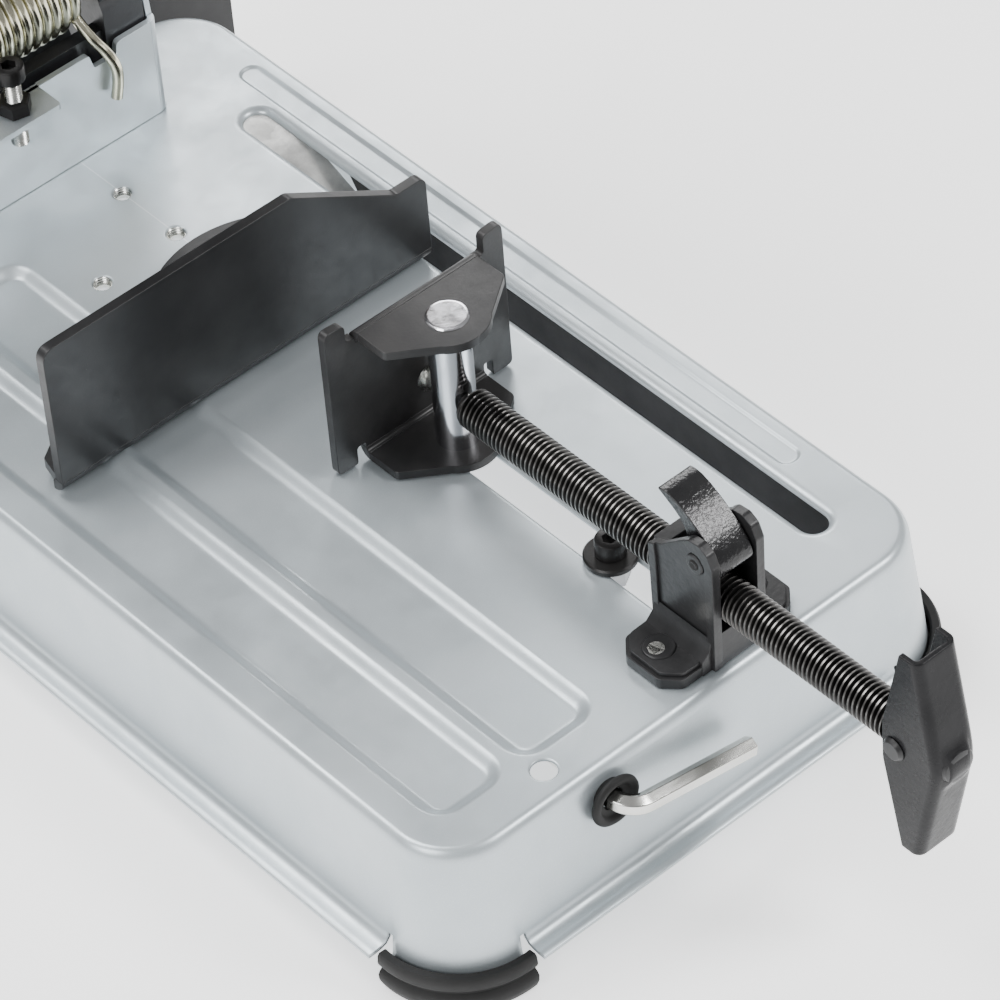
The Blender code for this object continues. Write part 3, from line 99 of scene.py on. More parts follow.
def ramp(tree, value, low, high, first, last):
    """Maps low..high of a value onto first..last."""
    made = tree.nodes.new("ShaderNodeMapRange")
    made.inputs["From Min"].default_value = low
    made.inputs["From Max"].default_value = high
    made.inputs["To Min"].default_value = first
    made.inputs["To Max"].default_value = last
    tree.links.new(value, made.inputs["Value"])
    return made.outputs["Result"]


def maths(tree, operation, *values):
    made = tree.nodes.new("ShaderNodeMath")
    made.operation = operation
    for slot, value in zip(made.inputs, values):
        if isinstance(value, (int, float)):
            slot.default_value = value
        else:
            tree.links.new(value, slot)
    return made.outputs[0]


def axes(tree, vector):
    made = tree.nodes.new("ShaderNodeSeparateXYZ")
    tree.links.new(vector, made.inputs[0])
    return made.outputs


def blend_colour(tree, factor, first, second):
    made = tree.nodes.new("ShaderNodeMix")
    made.data_type = "RGBA"
    tree.links.new(factor, made.inputs["Factor"])
    for slot, colour in ((made.inputs[6], first), (made.inputs[7], second)):
        if isinstance(colour, tuple):
            slot.default_value = (*colour, 1)
        else:
            tree.links.new(colour, slot)
    return made.outputs[2]


def bump(tree, shader, height, distance, strength=1.0, below=None):
    made = tree.nodes.new("ShaderNodeBump")
    made.inputs["Strength"].default_value = strength
    made.inputs["Distance"].default_value = distance
    tree.links.new(height, made.inputs["Height"])
    if below is not None:
        tree.links.new(below, made.inputs["Normal"])
    tree.links.new(made.outputs["Normal"], shader.inputs["Normal"])
    return made.outputs["Normal"]


def painted(name, dark, light, roughness, metallic, grain, grain_depth, coat=0.0, cloud=14, stretch=(1, 1, 1),
            specular=0.28):
    """Paint, powder coat, rubber or moulding: cloudy colour, uneven gloss and a fine grain."""
    middle = tuple((a + b) / 2 for a, b in zip(dark, light))
    made, tree, shader = node_material(name, middle, roughness, metallic, coat)
    shader.inputs["Specular IOR Level"].default_value = specular
    vector = coordinates(tree, stretch)
    clouds = ramp(tree, noise(tree, vector, cloud, 4), 0.35, 0.65, 0, 1)
    tree.links.new(blend_colour(tree, clouds, dark, light), shader.inputs["Base Color"])
    gloss = ramp(tree, noise(tree, vector, cloud * 5, 5, 0.6), 0.3, 0.7, roughness - 0.06, roughness + 0.06)
    tree.links.new(gloss, shader.inputs["Roughness"])
    bump(tree, shader, noise(tree, vector, grain, 2), grain_depth)
    return made


def metal(name, dark, light, roughness, grain=900, stretch=(1, 1, 1), depth=0.000012, cloud=60):
    return painted(name, dark, light, roughness, 1.0, grain, depth, 0.0, cloud, stretch)


SCRIBE = (0.0281, 0.090, 0.185)    # x, and the y ends, of the guide line scratched behind the fence


def tray_paint():
    """Silver lacquer: fine flake sparkle, faint rolling marks and one hair scratch, the guide line behind the fence.
    """
    made, tree, shader = node_material("tray_silver", (0.51, 0.565, 0.595), 0.36, 0.55, 0.25)
    vector = coordinates(tree)
    clouds = ramp(tree, noise(tree, vector, 9, 5, 0.6), 0.35, 0.65, 0, 1)
    colour = blend_colour(tree, clouds, (0.46, 0.515, 0.545), (0.555, 0.61, 0.64))
    flakes = ramp(tree, noise(tree, vector, 2600, 1), 0.60, 0.72, 0, 0.35)
    colour = blend_colour(tree, flakes, colour, (0.78, 0.80, 0.82))
    x, y, _ = axes(tree, vector)
    off_line = maths(tree, "ABSOLUTE", maths(tree, "SUBTRACT", x, SCRIBE[0]))
    scribed = maths(tree, "MULTIPLY", ramp(tree, off_line, 0.00015, 0.00040, 1, 0),
                    ramp(tree, y, SCRIBE[1], SCRIBE[1] + 0.001, 0, 0.55))
    scribed = maths(tree, "MULTIPLY", scribed, ramp(tree, y, SCRIBE[2] - 0.001, SCRIBE[2], 1, 0))
    colour = blend_colour(tree, scribed, colour, (0.86, 0.87, 0.88))
    tree.links.new(colour, shader.inputs["Base Color"])
    gloss = ramp(tree, noise(tree, vector, 45, 6, 0.65), 0.3, 0.7, 0.30, 0.44)
    tree.links.new(gloss, shader.inputs["Roughness"])
    long_way = coordinates(tree, (1.0, 0.08, 1.0))
    rolled = bump(tree, shader, noise(tree, long_way, 120, 3), 0.00005, 0.35)
    bump(tree, shader, noise(tree, vector, 1500, 2), 0.00001, 0.8, rolled)
    return made


def raw_sheet():
    """Grey sheet with the cloudy scale that hot sparks leave."""
    made, tree, shader = node_material("raw_sheet", (0.58, 0.58, 0.57), 0.48, 0.6)
    vector = coordinates(tree)
    blots = ramp(tree, noise(tree, vector, 70, 6, 0.7), 0.38, 0.62, 0, 1)
    colour = blend_colour(tree, blots, (0.50, 0.50, 0.49), (0.70, 0.70, 0.68))
    tree.links.new(colour, shader.inputs["Base Color"])
    tree.links.new(ramp(tree, noise(tree, vector, 160, 5), 0.3, 0.7, 0.36, 0.58), shader.inputs["Roughness"])
    bump(tree, shader, noise(tree, vector, 420, 5, 0.7), 0.00006)
    return made


def worn_coat(name, dark, light, roughness, grain, grain_depth, scuff):
    """Black powder coat with small scuffs that show grey."""
    made = painted(name, dark, light, roughness, 0.1, grain, grain_depth, 0.1, 30)
    tree = made.node_tree
    shader = tree.nodes["Principled BSDF"]
    base = shader.inputs["Base Color"].links[0].from_socket
    vector = coordinates(tree, (1.0, 1.0, 0.4))
    marks = ramp(tree, noise(tree, vector, 210, 8, 0.75), 0.68, 0.74, 0, scuff)
    tree.links.new(blend_colour(tree, marks, base, (0.16, 0.15, 0.145)), shader.inputs["Base Color"])
    return made


def thread_steel(centre_x, centre_z, root, crest):
    """Oiled black flanks with lighter crests: partly wear to bare steel, partly a painted highlight along each crest.
    """
    made = painted("vise_thread", (0.030, 0.029, 0.029), (0.060, 0.058, 0.056), 0.32, 1.0, 700, 0.00002)
    tree = made.node_tree
    shader = tree.nodes["Principled BSDF"]
    base = shader.inputs["Base Color"].links[0].from_socket
    x, _, z = axes(tree, coordinates(tree))
    x = maths(tree, "POWER", maths(tree, "ABSOLUTE", maths(tree, "SUBTRACT", x, centre_x)), 2)
    z = maths(tree, "POWER", maths(tree, "ABSOLUTE", maths(tree, "SUBTRACT", z, centre_z)), 2)
    radius = maths(tree, "SQRT", maths(tree, "ADD", x, z))
    # Crests lightened by radius all round the screw: part wear, part painted highlight.
    worn_and_highlight = ramp(tree, radius, root + 0.82 * (crest - root), crest, 0, 0.40)
    tree.links.new(blend_colour(tree, worn_and_highlight, base, (0.36, 0.35, 0.34)), shader.inputs["Base Color"])
    return made


def abrasive():
    made, tree, shader = node_material("abrasive", (0.07, 0.06, 0.055), 0.9, 0.0)
    vector = coordinates(tree)
    grit = ramp(tree, noise(tree, vector, 1400, 3, 0.7), 0.42, 0.62, 0, 1)
    colour = blend_colour(tree, grit, (0.035, 0.03, 0.028), (0.15, 0.13, 0.12))
    tree.links.new(colour, shader.inputs["Base Color"])
    tree.links.new(ramp(tree, noise(tree, vector, 300, 4), 0.3, 0.7, 0.78, 0.98), shader.inputs["Roughness"])
    bump(tree, shader, noise(tree, vector, 1100, 3, 0.8), 0.0003)
    return made


SILVER = tray_paint()
BLACK = worn_coat("black_powder_coat", (0.014, 0.014, 0.015), (0.025, 0.025, 0.026), 0.38, 900, 0.00002, 0.35)
JAW_BLACK = worn_coat("vise_jaw_coat", (0.020, 0.020, 0.021), (0.038, 0.037, 0.037), 0.40, 700, 0.00004, 0.6)
CAST = painted("black_casting", (0.012, 0.012, 0.013), (0.024, 0.024, 0.025), 0.42, 0.15, 420, 0.00012,
               0.15, 50)
HAMMERED = painted("hammered_black", (0.010, 0.010, 0.011), (0.020, 0.020, 0.021), 0.17, 0.2, 560, 0.00035,
                   0.3, 50)
HEAD_PAINT = painted("head_paint", (0.020, 0.021, 0.023), (0.034, 0.035, 0.038), 0.38, 0.2, 500, 0.00008,
                     0.15, 24)
RUBBER = painted("rubber", (0.008, 0.008, 0.008), (0.017, 0.017, 0.017), 0.62, 0.0, 650, 0.00005)
PLASTIC = painted("black_moulding", (0.016, 0.016, 0.018), (0.026, 0.026, 0.028), 0.50, 0.0, 800, 0.00006)
GREY = painted("grey_moulding", (0.17, 0.17, 0.18), (0.23, 0.23, 0.24), 0.48, 0.0, 800, 0.00004)
GLOSS_BLACK = painted("gloss_black", (0.007, 0.007, 0.008), (0.013, 0.013, 0.014), 0.26, 0.0, 350, 0.00008,
                      cloud=40, specular=0.14)
CHROME = metal("ground_pin", (0.60, 0.60, 0.63), (0.76, 0.76, 0.79), 0.16, 260, (1, 1, 0.06), 0.000015, 40)
ZINC = metal("zinc_plate", (0.56, 0.57, 0.55), (0.72, 0.72, 0.68), 0.26)
YELLOW = metal("yellow_zinc", (0.60, 0.58, 0.46), (0.82, 0.79, 0.60), 0.20, 900, (1, 1, 1), 0.000012, 120)
KEY = metal("key_plate", (0.60, 0.60, 0.57), (0.74, 0.74, 0.71), 0.24, 500, (0.1, 1, 1))
OXIDE_DULL = painted("screw_oxide", (0.012, 0.012, 0.012), (0.026, 0.025, 0.025), 0.35, 0.4, 800, 0.00003)
STEEL = metal("turned_steel", (0.36, 0.36, 0.37), (0.50, 0.50, 0.51), 0.34, 500, (0.1, 1, 1))
COPPER = metal("copper_winding", (0.45, 0.20, 0.09), (0.70, 0.36, 0.19), 0.38, 600, (0.1, 1, 1), 0.0002)
# Very dark matte black used as painted shade: inside the disc slot and in the motor's air slots.
SHADE_BLACK = painted("painted_shade_black", (0.010, 0.010, 0.011), (0.022, 0.022, 0.024), 0.70, 0.0, 600, 0.00004, specular=0.16)
SHEET = raw_sheet()
ABRASIVE = abrasive()


# ---------------------------------------------------------------- mesh tools
def piece(name, bm, look, body, replaces=(), place=LAY, smooth=35, bevel=0.0, segments=2, weighted=False):
    bmesh.ops.recalc_face_normals(bm, faces=bm.faces)
    mesh = bpy.data.meshes.new(name)
    bm.to_mesh(mesh)
    bm.free()
    mesh.materials.append(look)
    mesh.shade_smooth()
    obj = bpy.data.objects.new(name, mesh)
    bpy.context.scene.collection.objects.link(obj)
    obj.matrix_world = place
    if bevel:
        rounding = obj.modifiers.new("rounding", "BEVEL")
        rounding.width = bevel
        rounding.segments = segments
        rounding.limit_method = "ANGLE"
        rounding.angle_limit = math.radians(smooth)
        weighted = True
    if weighted:
        shading = obj.modifiers.new("shading", "WEIGHTED_NORMAL")
        shading.keep_sharp = True
        shading.weight = 80
    else:
        mesh.set_sharp_from_angle(angle=math.radians(smooth))
    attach(obj, body)
    if replaces:
        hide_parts(*replaces)
    return obj


def refine(node, look, bevel=0.0006, segments=2, smooth=32):
    """A finer copy of a CAD node: flat faces joined up, edges rounded, round walls smooth."""
    bm = bmesh.new()
    bm.from_mesh(frame["nodes"][node].data)
    bmesh.ops.remove_doubles(bm, verts=bm.verts, dist=1e-5)
    bmesh.ops.dissolve_limit(bm, angle_limit=math.radians(0.6), verts=bm.verts, edges=bm.edges)
    body = next(name for name, nodes in BODIES.items() if node in nodes)
    return piece(node + "_skin", bm, look, body, (node,), Matrix.Identity(4), smooth, bevel,
                 segments)


BODIES = frame["record"]["behaviour"]["bodies"]


def arc(centre, radius, start, end, steps):
    angles = [math.radians(start + (end - start) * i / steps) for i in range(steps + 1)]
    return [(centre[0] + radius * math.cos(a), centre[1] + radius * math.sin(a)) for a in angles]


def lathe(bm, base, axis, profile, sides=48, flats=None):
    """Turns (distance along axis, radius) points into a closed solid; flats gives a hexagon's corners."""
    axis = Vector(axis).normalized()
    side = axis.orthogonal().normalized()
    up = axis.cross(side)
    base = Vector(base)
    rings = []
    count = flats or sides
    for along, radius in profile:
        rings.append([bm.verts.new(base + axis * along + (side * math.cos(2 * math.pi * i / count)
                                                          + up * math.sin(2 * math.pi * i / count)) * radius)
                      for i in range(count)])
    join_rings(bm, rings)
    bm.faces.new(rings[0])
    bm.faces.new(rings[-1])


def join_rings(bm, rings, closed=True):
    for first, second in zip(rings, rings[1:]):
        count = len(first)
        for i in range(count if closed else count - 1):
            j = (i + 1) % count
            bm.faces.new((first[i], second[i], second[j], first[j]))


def tube(bm, path, radius, sides=12):
    """A round wire along a list of points, closed at both ends."""
    rings = []
    side = None
    for i, point in enumerate(path):
        heading = (path[min(i + 1, len(path) - 1)] - path[max(i - 1, 0)]).normalized()
        side = heading.orthogonal() if side is None else side - heading * side.dot(heading)
        side.normalize()
        other = heading.cross(side)
        rings.append([bm.verts.new(point + (side * math.cos(2 * math.pi * k / sides)
                                            + other * math.sin(2 * math.pi * k / sides)) * radius)
                      for k in range(sides)])
    join_rings(bm, rings)
    bm.faces.new(rings[0])
    bm.faces.new(rings[-1])


def smooth_path(points, steps=8):
    """Catmull-Rom curve through the points."""
    points = [Vector(p) for p in points]
    padded = [2 * points[0] - points[1]] + points + [2 * points[-1] - points[-2]]
    path = []
    for a, b, c, d in zip(padded, padded[1:], padded[2:], padded[3:]):
        for i in range(steps):
            t = i / steps
            path.append(0.5 * (2 * b + (c - a) * t + (2 * a - 5 * b + 4 * c - d) * t * t
                               + (3 * b - a - 3 * c + d) * t ** 3))
    return path + [points[-1]]


def prism(bm, points, low, high, axis):
    """A flat outline pushed out along X, Y or Z from low to high."""
    def at(u, v, w):
        return {"X": (w, u, v), "Y": (u, w, v), "Z": (u, v, w)}[axis]
    near = [bm.verts.new(at(u, v, low)) for u, v in points]
    far = [bm.verts.new(at(u, v, high)) for u, v in points]
    join_rings(bm, [near, far])
    bm.faces.new(near)
    bm.faces.new(far)


def rounded(points, radii, steps=5):
    """Rounds each corner of a closed outline; radii is one value or one per corner."""
    if not isinstance(radii, (tuple, list)):
        radii = [radii] * len(points)
    result = []
    for i, radius in enumerate(radii):
        before, corner, after = (Vector(points[j % len(points)]) for j in (i - 1, i, i + 1))
        u, v = (before - corner), (after - corner)
        half = u.angle(v) / 2
        if radius <= 0 or abs(half - math.pi / 2) < 0.02:
            result.append(tuple(corner))
            continue
        cut = min(radius / math.tan(half), u.length * 0.48, v.length * 0.48)
        start, end = corner + u.normalized() * cut, corner + v.normalized() * cut
        for k in range(steps + 1):
            s = k / steps
            result.append(tuple(start * (1 - s) ** 2 + corner * 2 * s * (1 - s) + end * s * s))
    return result


def bend(bm, centre, outer, inner, start, end, low, high, axis, steps=8):
    """A folded corner: a ring sector pushed out along an axis."""
    prism(bm, arc(centre, outer, start, end, steps) + arc(centre, inner, end, start, steps), low, high, axis)


def bars(name, outlines, look, body, replaces=(), bevel=0.0008, smooth=38, segments=3):
    """One piece from several (outline, low, high, axis) solids."""
    bm = bmesh.new()
    for points, low, high, axis in outlines:
        prism(bm, points, low, high, axis)
    return piece(name, bm, look, body, replaces, smooth=smooth, bevel=bevel, segments=segments)


# ---------------------------------------------------------------- tray
HALF = Vector((tray_high.x - tray_low.x, tray_high.y - tray_low.y)) / 2 - Vector((0.0157, 0.0157))
CORNER = 0.030
SHOULDER = 0.008
PLATE = 0.002
FOOT_Z = 0.027
FLANGE_Z = 0.0215
LEG_Z = 0.014
NOTCH = 0.003
CORNER_STEPS = 18
CORNERS = ((1, 1, 0), (-1, 1, 90), (-1, -1, 180), (1, -1, 270))


def tray_ring(bm, grow, z):
    ring = []
    for sx, sy, start in CORNERS:
        centre = (sx * (HALF.x - CORNER), sy * (HALF.y - CORNER))
        bend = arc(centre, CORNER + grow, start, start + 90, CORNER_STEPS)
        into = Vector((math.sin(math.radians(start)), -math.cos(math.radians(start)))) * NOTCH
        out = Vector((-math.cos(math.radians(start)), -math.sin(math.radians(start)))) * NOTCH
        bend = [(bend[0][0] + into.x, bend[0][1] + into.y)] + bend + [(bend[-1][0] + out.x, bend[-1][1] + out.y)]
        ring += [bm.verts.new((x, y, z)) for x, y in bend]
    return ring


def rounded_rectangle(low, high, radius, steps=8):
    points = []
    for x, y, start in ((high[0] - radius, high[1] - radius, 0), (low[0] + radius, high[1] - radius, 90),
                        (low[0] + radius, low[1] + radius, 180), (high[0] - radius, low[1] + radius, 270)):
        points += arc((x, y), radius, start, start + 90, steps)
    return points


def stadium(x, width, y_range, grow=0.0, steps=16):
    r = width / 2
    front = arc((x, y_range[0] + r), r + grow, 180, 360, steps)
    return front + arc((x, y_range[1] - r), r + grow, 0, 180, steps)


# x range, y range, depth, slope width, corner radius of the pressed channels
CHANNELS = (((-0.0653, -0.0366), (-0.209, 0.150), 0.0035, 0.0077, 0.0045),
            ((-0.1095, -0.0842), (-0.209, 0.150), 0.0035, 0.0077, 0.0045),
            ((0.1145, 0.1225), (-0.168, 0.180), 0.0010, 0.0022, 0.0035))
DISC_SLOT = (0.1001, 0.013, (-0.2053, 0.1568))
GUIDE_SLOT = (0.0279, 0.0139, (-0.200, -0.060))
VISE_X = GUIDE_SLOT[0]
FENCE_PIVOT = (VISE_X, 0.052)
THREADED = ((0.0281, 0.1561), (0.0281, 0.1194), (-0.0141, 0.1175))
FRONT_HOLE = (-0.0683, -0.2233)


def make_tray():
    bm = bmesh.new()
    across = 0.62 * SHOULDER
    profile = [(-across - 0.0018, TOP)]
    for i in range(11):
        a = math.radians(9 * i)
        profile.append((-across + across * math.sin(a), TOP - SHOULDER * (1 - math.cos(a))))
    wall = [(0.0052 * t, TOP - SHOULDER + (FOOT_Z - TOP + SHOULDER) * t) for t in (0.25, 0.5, 0.75, 1)]
    rings = [tray_ring(bm, grow, z) for grow, z in profile + wall]
    join_rings(bm, rings)
    foot = rings[-1]
    leg = [tray_ring(bm, grow, z) for grow, z in ((0.0058, 0.0205), (0.0068, LEG_Z))]
    lip = [tray_ring(bm, grow, z) for grow, z in ((0.0058, 0.0245), (0.0074, 0.0226), (0.0098, FLANGE_Z + 0.0003),
                                                  (0.0122, FLANGE_Z), (0.0157, FLANGE_Z))]
    per_corner = CORNER_STEPS + 3
    count = len(foot)
    for k in range(4):
        first = k * per_corner
        straight = first + per_corner - 1
        for upper, lower in zip([foot] + lip, lip):
            j = (straight + 1) % count
            bm.faces.new((upper[straight], lower[straight], lower[j], upper[j]))
        for upper, lower in zip([foot] + leg, leg):
            for i in range(first + 1, first + per_corner - 2):
                bm.faces.new((upper[i], lower[i], lower[i + 1], upper[i + 1]))

    def edges_of(ring):
        return [bm.edges.get((ring[i], ring[(i + 1) % len(ring)])) for i in range(len(ring))]

    borders = edges_of(rings[0])

    def pressed(outlines):
        loops = [[bm.verts.new((x, y, z)) for x, y in points] for points, z in outlines]
        join_rings(bm, loops)
        borders.extend(edges_of(loops[0]))
        return loops

    for (x0, x1), (y0, y1), depth, slope, radius in CHANNELS:
        outlines = []
        for i in range(9):
            t = i / 8
            out = slope * (1 - t)
            outlines.append((rounded_rectangle((x0 - out, y0 - out), (x1 + out, y1 + out), radius + out * 1.15),
                             TOP - depth * (0.5 - 0.5 * math.cos(math.pi * t))))
        floor = rounded_rectangle((x0 + 0.0012, y0 + 0.0012), (x1 - 0.0012, y1 - 0.0012), radius - 0.0012)
        outlines.append((floor, TOP - depth))
        bm.faces.new(pressed(outlines)[-1])
    rolled = ((0.0040, 0), (0.0026, 0.0002), (0.0014, 0.0007), (0.0005, 0.0015), (0, 0.0026))
    plain = ((0.0022, 0), (0.0012, 0.0001), (0.0005, 0.0004), (0.0001, 0.0009), (0, 0.0016))
    for (x, width, span), lip_steps in ((DISC_SLOT, rolled), (GUIDE_SLOT, plain)):
        pressed([(stadium(x, width, span, grow), TOP - drop) for grow, drop in lip_steps])
    holes = [(x, y, 0.0043) for x, y in THREADED] + [(*FRONT_HOLE, 0.0055)]
    for x, y, radius in holes:
        pressed([(arc((x, y), radius + grow, 0, 360 - 15, 23), TOP - drop)
                 for grow, drop in ((0.0010, 0), (0.0003, 0.0002), (0, 0.0006), (0, 0.0012))])
    bmesh.ops.triangle_fill(bm, edges=borders, normal=(0, 0, 1), use_beauty=True)
    bmesh.ops.delete(bm, geom=[v for v in bm.verts if not v.link_faces], context="VERTS")
    tray = piece("tray", bm, SILVER, "base", ("base_pan",))
    shell = tray.modifiers.new("sheet", "SOLIDIFY")
    shell.thickness = PLATE
    shell.offset = -1
    shell.use_even_offset = True
    shading = tray.modifiers.new("shading", "WEIGHTED_NORMAL")
    shading.weight = 90
    return tray


def make_thread_inserts():
    """The three threaded holes behind the fence show their thread as bright rings."""
    bm = bmesh.new()
    for x, y in THREADED:
        path = [Vector((x + 0.00395 * math.cos(a), y + 0.00395 * math.sin(a),
                        TOP - 0.0004 - 0.00125 * a / math.tau))
                for a in (math.tau * i / 24 for i in range(24 * 4 + 1))]
        tube(bm, path, 0.00042, 6)
        rings = []
        for i in range(25):
            a = math.tau * i / 24
            rings.append([bm.verts.new((x + r * math.cos(a), y + r * math.sin(a), TOP - drop))
                          for r, drop in ((0.0042, 0.0012), (0.0053, 0.0012), (0.0053, 0.0068), (0.0042, 0.0068))])
        join_rings(bm, rings)
    bmesh.ops.remove_doubles(bm, verts=bm.verts, dist=1e-7)
    return piece("hole_threads", bm, ZINC, "base")


def make_feet():
    section = ((0.0262, 0.0006), (0.0270, 0), (0.0395, 0), (0.0408, 0.0008), (0.0424, 0.0048), (0.0427, 0.0080),
               (0.0418, 0.0098), (0.0407, 0.0108), (0.0407, 0.0122), (0.0419, 0.0132), (0.0425, 0.0150),
               (0.0421, 0.0188), (0.0412, 0.0200), (0.0383, 0.0200), (0.0376, 0.0192), (0.0374, LEG_Z - 0.0003),
               (0.0322, LEG_Z - 0.0003), (0.0320, 0.0186), (0.0312, 0.0192), (0.0270, 0.0190), (0.0262, 0.0182))
    for node, (sx, sy, start) in zip(("foot_rear_right", "foot_rear_left", "foot_front_left", "foot_front_right"),
                                     CORNERS):
        bm = bmesh.new()
        centre = (sx * (HALF.x - CORNER), sy * (HALF.y - CORNER))
        rings = []
        for i in range(37):
            a = math.radians(start - 3 + 96 * i / 36)
            rings.append([bm.verts.new((centre[0] + r * math.cos(a), centre[1] + r * math.sin(a), z))
                          for r, z in section])
        join_rings(bm, rings)
        bm.faces.new(rings[0])
        bm.faces.new(rings[-1])
        piece(node + "_rubber", bm, RUBBER, "base", (node,), smooth=40)


# ---------------------------------------------------------------- vise
low, high = local("vise_spindle")
SCREW_Z = (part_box("vise_spindle")[0].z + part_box("vise_spindle")[1].z) / 2
SCREW_RADIUS = (high.x - low.x) / 2
PIN_Y = (local("jaw_pin")[0].y + local("jaw_pin")[1].y) / 2
PIN_RADIUS = (local("jaw_pin")[1].y - local("jaw_pin")[0].y) / 2
HANDLE_LOW, HANDLE_HIGH = local("spindle_handle")
THREAD_PITCH = 0.0025


def make_spindle():
    start, end = HANDLE_HIGH.y + 0.0003, PIN_Y - PIN_RADIUS - 0.0003
    steps = 32
    crest, root = SCREW_RADIUS, SCREW_RADIUS - 0.00145
    profile = ((0.0, root), (0.10, root), (0.42, crest), (0.68, crest))
    bm = bmesh.new()
    total = int((end - start) / THREAD_PITCH + 1) * steps
    grid = []
    for i in range(total):
        a = math.tau * i / steps
        row = []
        for share, radius in profile:
            y = start + THREAD_PITCH * (i / steps + share - 1)
            fade = min(1.0, max(0.0, (end - y) / 0.003), max(0.0, (y - start) / 0.002))
            r = root + (radius - root) * fade
            y = min(max(y, start), end)
            row.append(bm.verts.new((VISE_X + r * math.sin(a), y, SCREW_Z + r * math.cos(a))))
        grid.append(row)
    for i in range(total - 1):
        for k in range(3):
            bm.faces.new((grid[i][k], grid[i + 1][k], grid[i + 1][k + 1], grid[i][k + 1]))
        if i + 1 + steps < total:
            bm.faces.new((grid[i][3], grid[i + 1][3], grid[i + 1 + steps][0], grid[i + steps][0]))
    bmesh.ops.remove_doubles(bm, verts=bm.verts, dist=1e-6)
    bmesh.ops.dissolve_degenerate(bm, edges=bm.edges, dist=1e-7)
    bmesh.ops.holes_fill(bm, edges=bm.edges, sides=0)
    look = thread_steel(VISE_X, SCREW_Z, root, crest)
    piece("spindle_thread", bm, look, "spindle", ("vise_spindle",), smooth=60)
    bm = bmesh.new()
    lathe(bm, (VISE_X, end - 0.001, SCREW_Z), (0, 1, 0),
          ((0, 0.0050), (0.0240, 0.0050), (0.0241, 0.0068), (0.0250, 0.0069), (0.0268, 0.0052), (0.0272, 0.003)), 32)
    piece("spindle_riveted_end", bm, ZINC, "spindle")
    bm = bmesh.new()
    seat = HANDLE_LOW.y - 0.0020
    lathe(bm, (VISE_X, seat, SCREW_Z), (0, 1, 0),
          ((0, 0.0058), (0.0006, 0.0073), (0.0022, 0.0079), (start - seat + 0.0015, 0.0079)), 40)
    piece("spindle_seat", bm, BLACK, "spindle")


def make_pin():
    low, high = local("jaw_pin")
    bm = bmesh.new()
    height = high.z - low.z
    lathe(bm, (VISE_X, PIN_Y, low.z), (0, 0, 1),
          ((0, PIN_RADIUS - 0.0008), (0.0008, PIN_RADIUS), (height - 0.0007, PIN_RADIUS),
           (height - 0.0002, PIN_RADIUS - 0.0004), (height, PIN_RADIUS - 0.0011),
           (height, PIN_RADIUS - 0.0014)), 64)
    piece("jaw_pin_ground", bm, CHROME, "vise_carrier", ("jaw_pin",))


def make_key():
    low, high = local("key_grommet")
    x, z = (low.x + high.x) / 2, (low.z + high.z) / 2
    droop, turn, arm = math.radians(-10.6), 0.0095, 0.0570
    along = Vector((math.cos(droop), 0, math.sin(droop)))
    path = [(Vector((x, -0.130, z)), Vector((0, -1, 0)))]
    corner = Vector((x, -0.2515 + turn, z))
    for i in range(17):
        a = math.radians(90 * i / 16)
        path.append((corner + Vector((0, -turn * math.sin(a), 0)) + along * turn * (1 - math.cos(a)),
                     Vector((0, -math.cos(a), 0)) + along * math.sin(a)))
    path.append((path[-1][0] + along * (arm - 0.0006), along))
    flank = along.cross(Vector((0, -1, 0))).normalized()
    bm = bmesh.new()
    rings = []
    for point, heading in path:
        other = heading.cross(flank).normalized()
        rings.append([bm.verts.new(point + (flank * math.cos(math.tau * k / 6) + other * math.sin(math.tau * k / 6))
                                   * 0.0046) for k in range(6)])
    join_rings(bm, rings)
    bm.faces.new(rings[0])
    bm.faces.new(rings[-1])
    piece("hex_key_bent", bm, KEY, "hex_key", ("hex_key",), smooth=32, bevel=0.0006, segments=3)
    bm = bmesh.new()
    wall = low.y + 0.0029
    depth = high.y - low.y
    profile = ((0.0000, 0.0052), (-0.0004, 0.0060), (-0.0006, 0.0072), (-0.0012, 0.0078), (-0.0026, 0.0088),
               (-0.0029, 0.0098), (-0.0028, 0.0108), (-0.0020, 0.0118), (-0.0010, 0.0120), (-0.0002, 0.0117),
               (0, 0.0112), (0, 0.0080), (depth - 0.0035, 0.0080), (depth - 0.0029, 0.0076),
               (depth - 0.0029, 0.0052))
    rings = []
    for i in range(48):
        a = math.tau * i / 48
        rings.append([bm.verts.new((x + r * math.cos(a), wall + y, z + r * math.sin(a))) for y, r in profile])
    for first, second in zip(rings, rings[1:] + rings[:1]):
        for k in range(len(profile)):
            j = (k + 1) % len(profile)
            bm.faces.new((first[k], second[k], second[j], first[j]))
    piece("key_grommet_rubber", bm, RUBBER, "base", ("key_grommet",), smooth=50)


